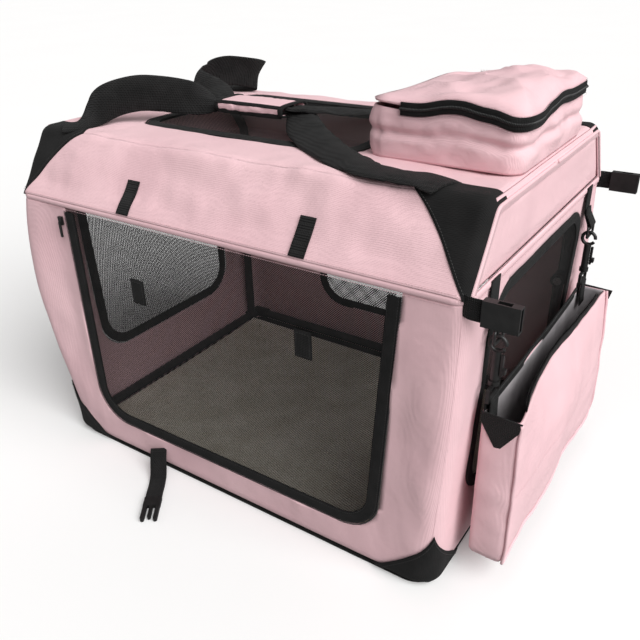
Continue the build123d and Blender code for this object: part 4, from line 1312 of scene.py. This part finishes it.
piping = []
for k in range(61):
    piping.append(bag_point(bag_half.x - 0.0004, -bag_half.y + 0.0006, 1 - k / 60 * 0.965))
for k in range(1, 120):
    piping.append(bag_point(bag_half.x - 0.0006, -bag_half.y + 0.0006 + 2 * (bag_half.y - 0.0006) * k / 120, 0.03))
for k in range(61):
    piping.append(bag_point(bag_half.x - 0.0004, bag_half.y - 0.0006, 0.035 + k / 60 * 0.965))
piping = spaced(piping, 0.004)
welt = sweep("side_bag_piping", [p + Vector((0.0012, 0, 0)) for p in piping], Vector((1, 0, 0)), 0.0042, 0.0042,
             profile=round_profile)
dress(welt, pink, "side_bag")
line = []
for k in range(91):
    spot = bag_point(bag_half.x, bag_half.y * (-0.965 + 1.93 * k / 90), 0.52 + 0.02 * math.sin(k / 14))
    line.append(spot + Vector((0.0012, 0, 0)))
dress(stitches("side_bag_stitches", line, Vector((1, 0, 0)), pink_thread), pink_thread, "side_bag")

tapes_low, tapes_high = (Vector(c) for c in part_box("side_bag_zip_tapes"))
for name, x, edge in (("inner", -bag_half.x + 0.001, -1), ("outer", bag_half.x - 0.001, 1)):
    path = []
    for k in range(101):
        y = tapes_low.y + (tapes_high.y - tapes_low.y) * k / 100
        spot = bag_point(x, y, 1)
        wave = 0.0022 * math.sin(y * 26 + edge) + 0.0012 * math.sin(y * 61)
        path.append(spot + Vector((edge * -0.001 + 0.6 * wave, 0, 0.0035 + wave)))
    out = Vector((edge, 0, -0.05))
    tape = sweep(f"side_bag_tape_{name}", path, out, 0.013, 0.0018)
    dress(tape, zip_tape, "side_bag", ["side_bag_zip_tapes"])
    line = [p + Vector((-edge * 0.0012, 0, 0.0052)) for p in path]
    teeth = stitches(f"side_bag_coil_{name}", line, Vector((-edge, 0, 0)), coil, pitch=0.0017, long=0.0011, thick=0.0026)
    dress(teeth, coil, "side_bag")

# ---- Hooks, rings and webbing at the side bag ------------------------------------------------------------------
# Moulded swivel hooks hang from rings in webbing tabs. Each of the bag's loops passes through a swivel's eye and
# is sewn down in a point over the gusset.

for node in ("snap_hooks", "snap_swivels", "d_rings", "snap_trigger_front", "snap_trigger_back"):
    soften(refinish(node, acetal), 0.0004, 2)

rings_low, rings_high = (Vector(c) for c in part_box("d_rings"))
loops_low, loops_high = (Vector(c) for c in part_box("side_bag_loops"))
tabs_low, tabs_high = (Vector(c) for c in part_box("bag_hanger_tabs"))
hang_x = (rings_low.x + rings_high.x) / 2
belt = 0.025
for end, name in ((-1, "front"), (1, "back")):
    y = end * (loops_high.y - belt / 2)
    near, far = loops_low.x + 0.001, loops_high.x - 0.001
    top = loops_high.z - 0.0012
    path = [Vector((near, y, bag_rim - 0.012)), Vector((near, y, top - 0.004))]
    path += [Vector((near + 0.001, y, top - 0.001)), Vector(((near + far) / 2, y, top))]
    path += [Vector((far - 0.001, y, top - 0.001))]
    path += [Vector((far, y, top - 0.004)), Vector((far, y, bag_rim - 0.002))]
    path.append(Vector((far + 0.001, y, bag_rim - 0.022)))
    out = [Vector((-1, 0, 0))] * 2 + [Vector((-0.7, 0, 0.7)), Vector((0, 0, 1)), Vector((0.7, 0, 0.7))]
    out += [Vector((1, 0, 0))] * 3
    loop = sweep(f"bag_loop_{name}", path, out, belt, 0.0019)
    dress(loop, webbing, "side_bag", ["side_bag_loops"])
    edge_y = end * (bag_half.y + 0.0018)
    tip = [
        (loops_low.x, bag_rim + 0.003),
        (bag_high.x + 0.002, bag_rim + 0.001),
        (bag_high.x - 0.001, bag_rim - 0.012),
        (bag_mid.x + 0.003, bag_rim - 0.040),
        (bag_mid.x - 0.004, bag_rim - 0.040),
        (loops_low.x, bag_rim - 0.010),
    ]
    front_side = [Vector((a, edge_y, b)) for a, b in tip]
    back_side = [Vector((a, edge_y - end * 0.0022, b)) for a, b in tip]
    faces = [tuple(range(6)), tuple(range(11, 5, -1))]
    faces += [(i, i + 6, (i + 1) % 6 + 6, (i + 1) % 6) for i in range(6)]
    point = solid_normals(mesh_object(f"gusset_point_{name}", front_side + back_side, faces, False))
    dress(point, webbing, "side_bag")

    tab_y = end * (tabs_high.y - belt / 2)
    ring_z = rings_high.z - (rings_high.x - rings_low.x) / 2
    x = tabs_low.x + 0.0012
    path = [Vector((x, tab_y, tabs_high.z - 0.004 * k)) for k in range(10)]
    path += [Vector((hang_x - 0.0028, tab_y, ring_z + 0.004)), Vector((hang_x - 0.0015, tab_y, ring_z - 0.0028))]
    path += [Vector((hang_x + 0.0015, tab_y, ring_z - 0.0028)), Vector((hang_x + 0.0028, tab_y, ring_z + 0.002))]
    path += [Vector((x + 0.0034, tab_y, ring_z + 0.018)), Vector((x + 0.0022, tab_y, ring_z + 0.026))]
    turn = runs(path, False)
    out = [Vector((-r.z, 0, r.x)) for r in turn]
    tab = solid_normals(sweep(f"hanger_tab_{name}", path, out, belt, 0.0019))
    tab.data.materials.append(webbing)
    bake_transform(tab)
    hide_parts("bag_hanger_tabs")

# ---- Buckles on the ridge --------------------------------------------------------------------------------------
# Two moulded buckle sockets on short webbing tabs, for the straps that tie the folded carrier flat.

for node in ("female_buckles", "front_strap_buckle", "back_strap_buckle"):
    soften(refinish(node, acetal), 0.001, 3)
stubs_low, stubs_high = (Vector(c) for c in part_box("buckle_tabs"))
for end, name in ((-1, "front"), (1, "back")):
    y = end * (stubs_high.y - 0.001)
    mid_z = (stubs_low.z + stubs_high.z) / 2
    path = []
    for k in range(7):
        path.append(Vector((stubs_low.x - 0.010 + 0.0045 * k, y - end * 0.006 * max(0, 1 - k / 3) ** 2, mid_z)))
    stub = sweep(f"buckle_tab_{name}", path, Vector((0, end, 0)), stubs_high.z - stubs_low.z, 0.0022)
    dress(stub, webbing, "ridge", ["buckle_tabs"])

# ---- Roll-up straps --------------------------------------------------------------------------------------------
# Two short webbing straps on the front shoulder that hold the rolled door.

rolls_low, rolls_high = (Vector(c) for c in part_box("rollup_straps"))
roll_wide = 0.022
for name, x in (("left", rolls_low.x + roll_wide / 2), ("right", rolls_high.x - roll_wide / 2)):
    path = [over_roof(-1, x, 0.002 + 0.048 * k / 16, 0.0018) for k in range(17)]
    out = Vector((0, -shoulder_rise, shoulder_run)).normalized()
    strap = sweep(f"rollup_strap_{name}", path, out, roll_wide, 0.0022)
    strap.data.materials.append(webbing)
    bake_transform(strap)
    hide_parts("rollup_straps")

# ---- Straps at the foot ----------------------------------------------------------------------------------------
# One on each long side, sewn under the wall; each ends in the plug half of a buckle and lies out on the ground.

strap_turn = Vector((0.585, -0.811, 0))
for side, name in ((-1, "front"), (1, "back")):
    way = Vector((strap_turn.x, -side * strap_turn.y, 0))
    low, high = (Vector(c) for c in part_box(f"{name}_strap"))
    foot_spot = Vector((-0.126, side * (half_w + 0.0095), 0))
    shape = [(-0.006, 0.0385), (0.0, 0.0345), (0.005, 0.0300), (0.009, 0.0235), (0.014, 0.0155), (0.019, 0.0090)]
    shape += [(0.025, 0.0055), (0.034, 0.0036), (0.045, 0.0034), (0.056, 0.0044), (0.066, 0.0036), (0.070, 0.0036)]
    path = [foot_spot + way * a + Vector((0, 0, b)) for a, b in shape]
    turn = runs(path, False)
    lateral = Vector((0, 0, 1)).cross(way)
    out = [lateral.cross(r) * (1 if lateral.cross(r).dot(Vector((0, side, 0.5))) > 0 else -1) for r in turn]
    strap = solid_normals(sweep(f"{name}_strap_webbing", path, out, belt, 0.002))
    strap.data.materials.append(webbing)
    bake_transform(strap)
    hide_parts(f"{name}_strap")

# ---- Carrying handles ------------------------------------------------------------------------------------------
# Two wide soft straps sewn over the top patches. They rise in loops from the ends, cross the roof and meet in the
# grip. Each is shaped as two halves, whose points give the place and the twist in degrees.

grip_low, grip_high = (Vector(c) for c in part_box("grip_wrap"))
grip_mid = (grip_low + grip_high) / 2
grip_half = (grip_high - grip_low) / 2
sewn_z = roof_z + 0.004
grip_left, grip_right = grip_low.x - 0.004, grip_high.x + 0.004


def smooth_path(points, steps=12):
    """A smooth curve through points; a fourth number on each is the strap's twist in degrees there."""
    out = []
    count = len(points)
    for i in range(count - 1):
        p0, p1, p2, p3 = (Vector(points[min(count - 1, max(0, i + k))]) for k in (-1, 0, 1, 2))
        for k in range(steps):
            t = k / steps
            out.append(
                0.5 * ((2 * p1) + (p2 - p0) * t + (2 * p0 - 5 * p1 + 4 * p2 - p3) * t**2
                       + (3 * p1 - p0 - 3 * p2 + p3) * t**3)
            )
    out.append(Vector(points[-1]))
    return out


def soft_strap(name, points, width, gauge, seed, gather):
    """A wide soft strap, level and square to its run but for the twist, which cups and puckers.

    gather is the place where it is drawn together, by how much, and over what length."""
    path = smooth_path(points)
    centres = [Vector(p[:3]) for p in path]
    verts = []
    across_count = 13
    for side in (1, -1):
        for i, c in enumerate(centres):
            run = (centres[min(i + 1, len(centres) - 1)] - centres[max(i - 1, 0)]).normalized()
            level_way = Vector((-run.y, run.x, 0)).normalized()
            up = run.cross(level_way).normalized()
            if up.z < 0:
                up, level_way = -up, -level_way
            turn = Matrix.Rotation(math.radians(path[i][3]), 3, run)
            level_way, up = turn @ level_way, turn @ up
            squeeze = 1 - gather[1] * math.exp(-(((c - gather[0]).length / gather[2]) ** 2))
            for k in range(across_count):
                s = 2 * k / (across_count - 1) - 1
                cup = 0.0035 * s * s * (1 if path[i][3] == 0 else 1.3)
                pucker = soft(c.x, s * 0.02 + seed, c.y, 40, 0.003, seed)
                pucker += (1 - squeeze) * 0.006 * math.sin(s * 11 + seed)
                edge = 1 - abs(s) ** 6 * 0.55
                height = pucker - cup + side * gauge / 2 * edge
                verts.append(c + level_way * (s * width / 2 * squeeze) + up * height)
    rows = len(centres)
    faces = grid_faces(across_count, rows)
    faces += [tuple(reversed([n + rows * across_count for n in f])) for f in faces]
    half_count = rows * across_count
    rim = [i for i in range(across_count)] + [j * across_count + across_count - 1 for j in range(1, rows)]
    rim += [(rows - 1) * across_count + i for i in range(across_count - 2, -1, -1)]
    rim += [j * across_count for j in range(rows - 2, 0, -1)]
    for i, corner in enumerate(rim):
        after = rim[(i + 1) % len(rim)]
        faces.append((after, corner, corner + half_count, after + half_count))
    return solid_normals(mesh_object(name, verts, faces))


low_z, high_z = grip_mid.z - 0.0022, grip_mid.z + 0.0022
handle_wide = 0.050
front_left = [
    (-0.306, -0.184, sewn_z - 0.001, 0),
    (-0.292, -0.172, sewn_z, 8),
    (-0.276, -0.156, sewn_z + 0.014, 40),
    (-0.256, -0.138, sewn_z + 0.030, 68),
    (-0.225, -0.113, sewn_z + 0.038, 72),
    (-0.200, -0.095, sewn_z + 0.037, 70),
    (-0.175, -0.078, sewn_z + 0.033, 64),
    (-0.152, -0.061, sewn_z + 0.028, 48),
    (-0.134, -0.046, low_z + 0.002, 20),
    (grip_left, grip_mid.y, low_z, 0),
    (grip_mid.x, grip_mid.y, low_z, 0),
]
front_right = [
    (grip_mid.x, grip_mid.y, low_z, 0),
    (grip_right, grip_mid.y, low_z, 0),
    (grip_right + 0.014, grip_mid.y - 0.006, low_z - 0.001, 4),
    (0.045, -0.080, sewn_z + 0.012, 10),
    (0.105, -0.124, sewn_z + 0.005, 6),
    (0.180, -0.165, sewn_z + 0.002, 0),
    (0.230, -0.172, sewn_z + 0.001, 0),
    (0.268, -0.174, sewn_z, 0),
    (0.290, -0.180, sewn_z - 0.001, 0),
]
back_left = [
    (-0.300, 0.180, sewn_z - 0.001, 0),
    (-0.282, 0.180, sewn_z, 0),
    (-0.255, 0.184, sewn_z + 0.010, 30),
    (-0.234, 0.176, sewn_z + 0.024, 70),
    (-0.243, 0.150, sewn_z + 0.032, 76),
    (-0.262, 0.118, sewn_z + 0.036, 76),
    (-0.278, 0.088, sewn_z + 0.030, 70),
    (-0.270, 0.055, sewn_z + 0.026, 66),
    (-0.238, 0.026, sewn_z + 0.026, 60),
    (-0.190, -0.002, sewn_z + 0.027, 46),
    (-0.148, -0.026, high_z + 0.004, 20),
    (grip_left, grip_mid.y, high_z, 0),
    (grip_mid.x, grip_mid.y, high_z, 0),
]
back_right = [
    (grip_mid.x, grip_mid.y, high_z, 0),
    (grip_right, grip_mid.y, high_z, 0),
    (grip_right + 0.012, grip_mid.y, high_z + 0.003, 0),
    (0.032, 0.014, sewn_z + 0.016, 0),
    (0.066, 0.084, sewn_z + 0.006, 0),
    (0.112, 0.142, sewn_z + 0.002, 0),
    (0.186, 0.168, sewn_z + 0.001, 0),
    (0.268, 0.174, sewn_z, 0),
    (0.290, 0.180, sewn_z - 0.001, 0),
]
for name, points, node, seed, strap_length in (
    ("front_handle_left", front_left, "front_handle", 1, 0.33),
    ("front_handle_right", front_right, "front_handle", 2, 0.42),
    ("back_handle_left", back_left, "back_handle", 3, 0.47),
    ("back_handle_right", back_right, "back_handle", 4, 0.50),
):
    held = points[-2] if name.endswith("left") else points[1]
    knot = (Vector(held[:3]), 0.25, 0.03)
    strap = soft_strap(name, points, handle_wide, 0.0028, seed, knot)
    strap.data.materials.append(webbing)
    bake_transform(strap)
    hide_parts(node)

# ---- Grip ------------------------------------------------------------------------------------------------------
# A padded pink sleeve wrapped round both straps, bound in black along its long edges and its two ends.

rows = []
grip_rows = 49
section = 44
for j in range(grip_rows):
    u = 2 * j / (grip_rows - 1) - 1
    fat = 1 - 0.10 * abs(u) ** 3
    for k in range(section):
        t = 2 * math.pi * k / section
        c, s = math.cos(t), math.sin(t)
        w = grip_half.y * math.copysign(abs(c) ** 0.55, c)
        h = (grip_half.z * fat + 0.001) * math.copysign(abs(s) ** 0.6, s)
        lump = 1 + 0.05 * noise.noise(Vector((u * 4, t * 1.4, 2))) + 0.03 * noise.noise(Vector((u * 11, t * 3, 5)))
        rows.append(Vector((grip_mid.x + grip_half.x * u, grip_mid.y + w * lump, grip_mid.z + h * lump)))
grip = solid_normals(mesh_object("grip_sleeve", rows, grid_faces(section, grip_rows, wrap=True)))
thicken(grip, 0.002)
dress(grip, pink, "handles", ["grip_wrap"])
for name, j in (("left", 0), ("right", grip_rows - 1)):
    ring = [rows[j * section + k] for k in range(section)]
    out = [(p - Vector((p.x, grip_mid.y, grip_mid.z))).normalized() for p in ring]
    dress(sweep(f"grip_binding_{name}", ring, out, 0.007, 0.0034, True), edging, "handles")
seam = [rows[j * section + 26] + Vector((0, -0.0006, -0.0004)) for j in range(grip_rows)]
seam_top = [rows[j * section + 18] + Vector((0, -0.0004, 0.0006)) for j in range(grip_rows)]
dress(sweep("grip_edge_lower", seam, Vector((0, -1, 0)), 0.0065, 0.0026), edging, "handles")
dress(sweep("grip_edge_upper", seam_top, Vector((0, -0.7, 0.7)), 0.005, 0.0024), edging, "handles")
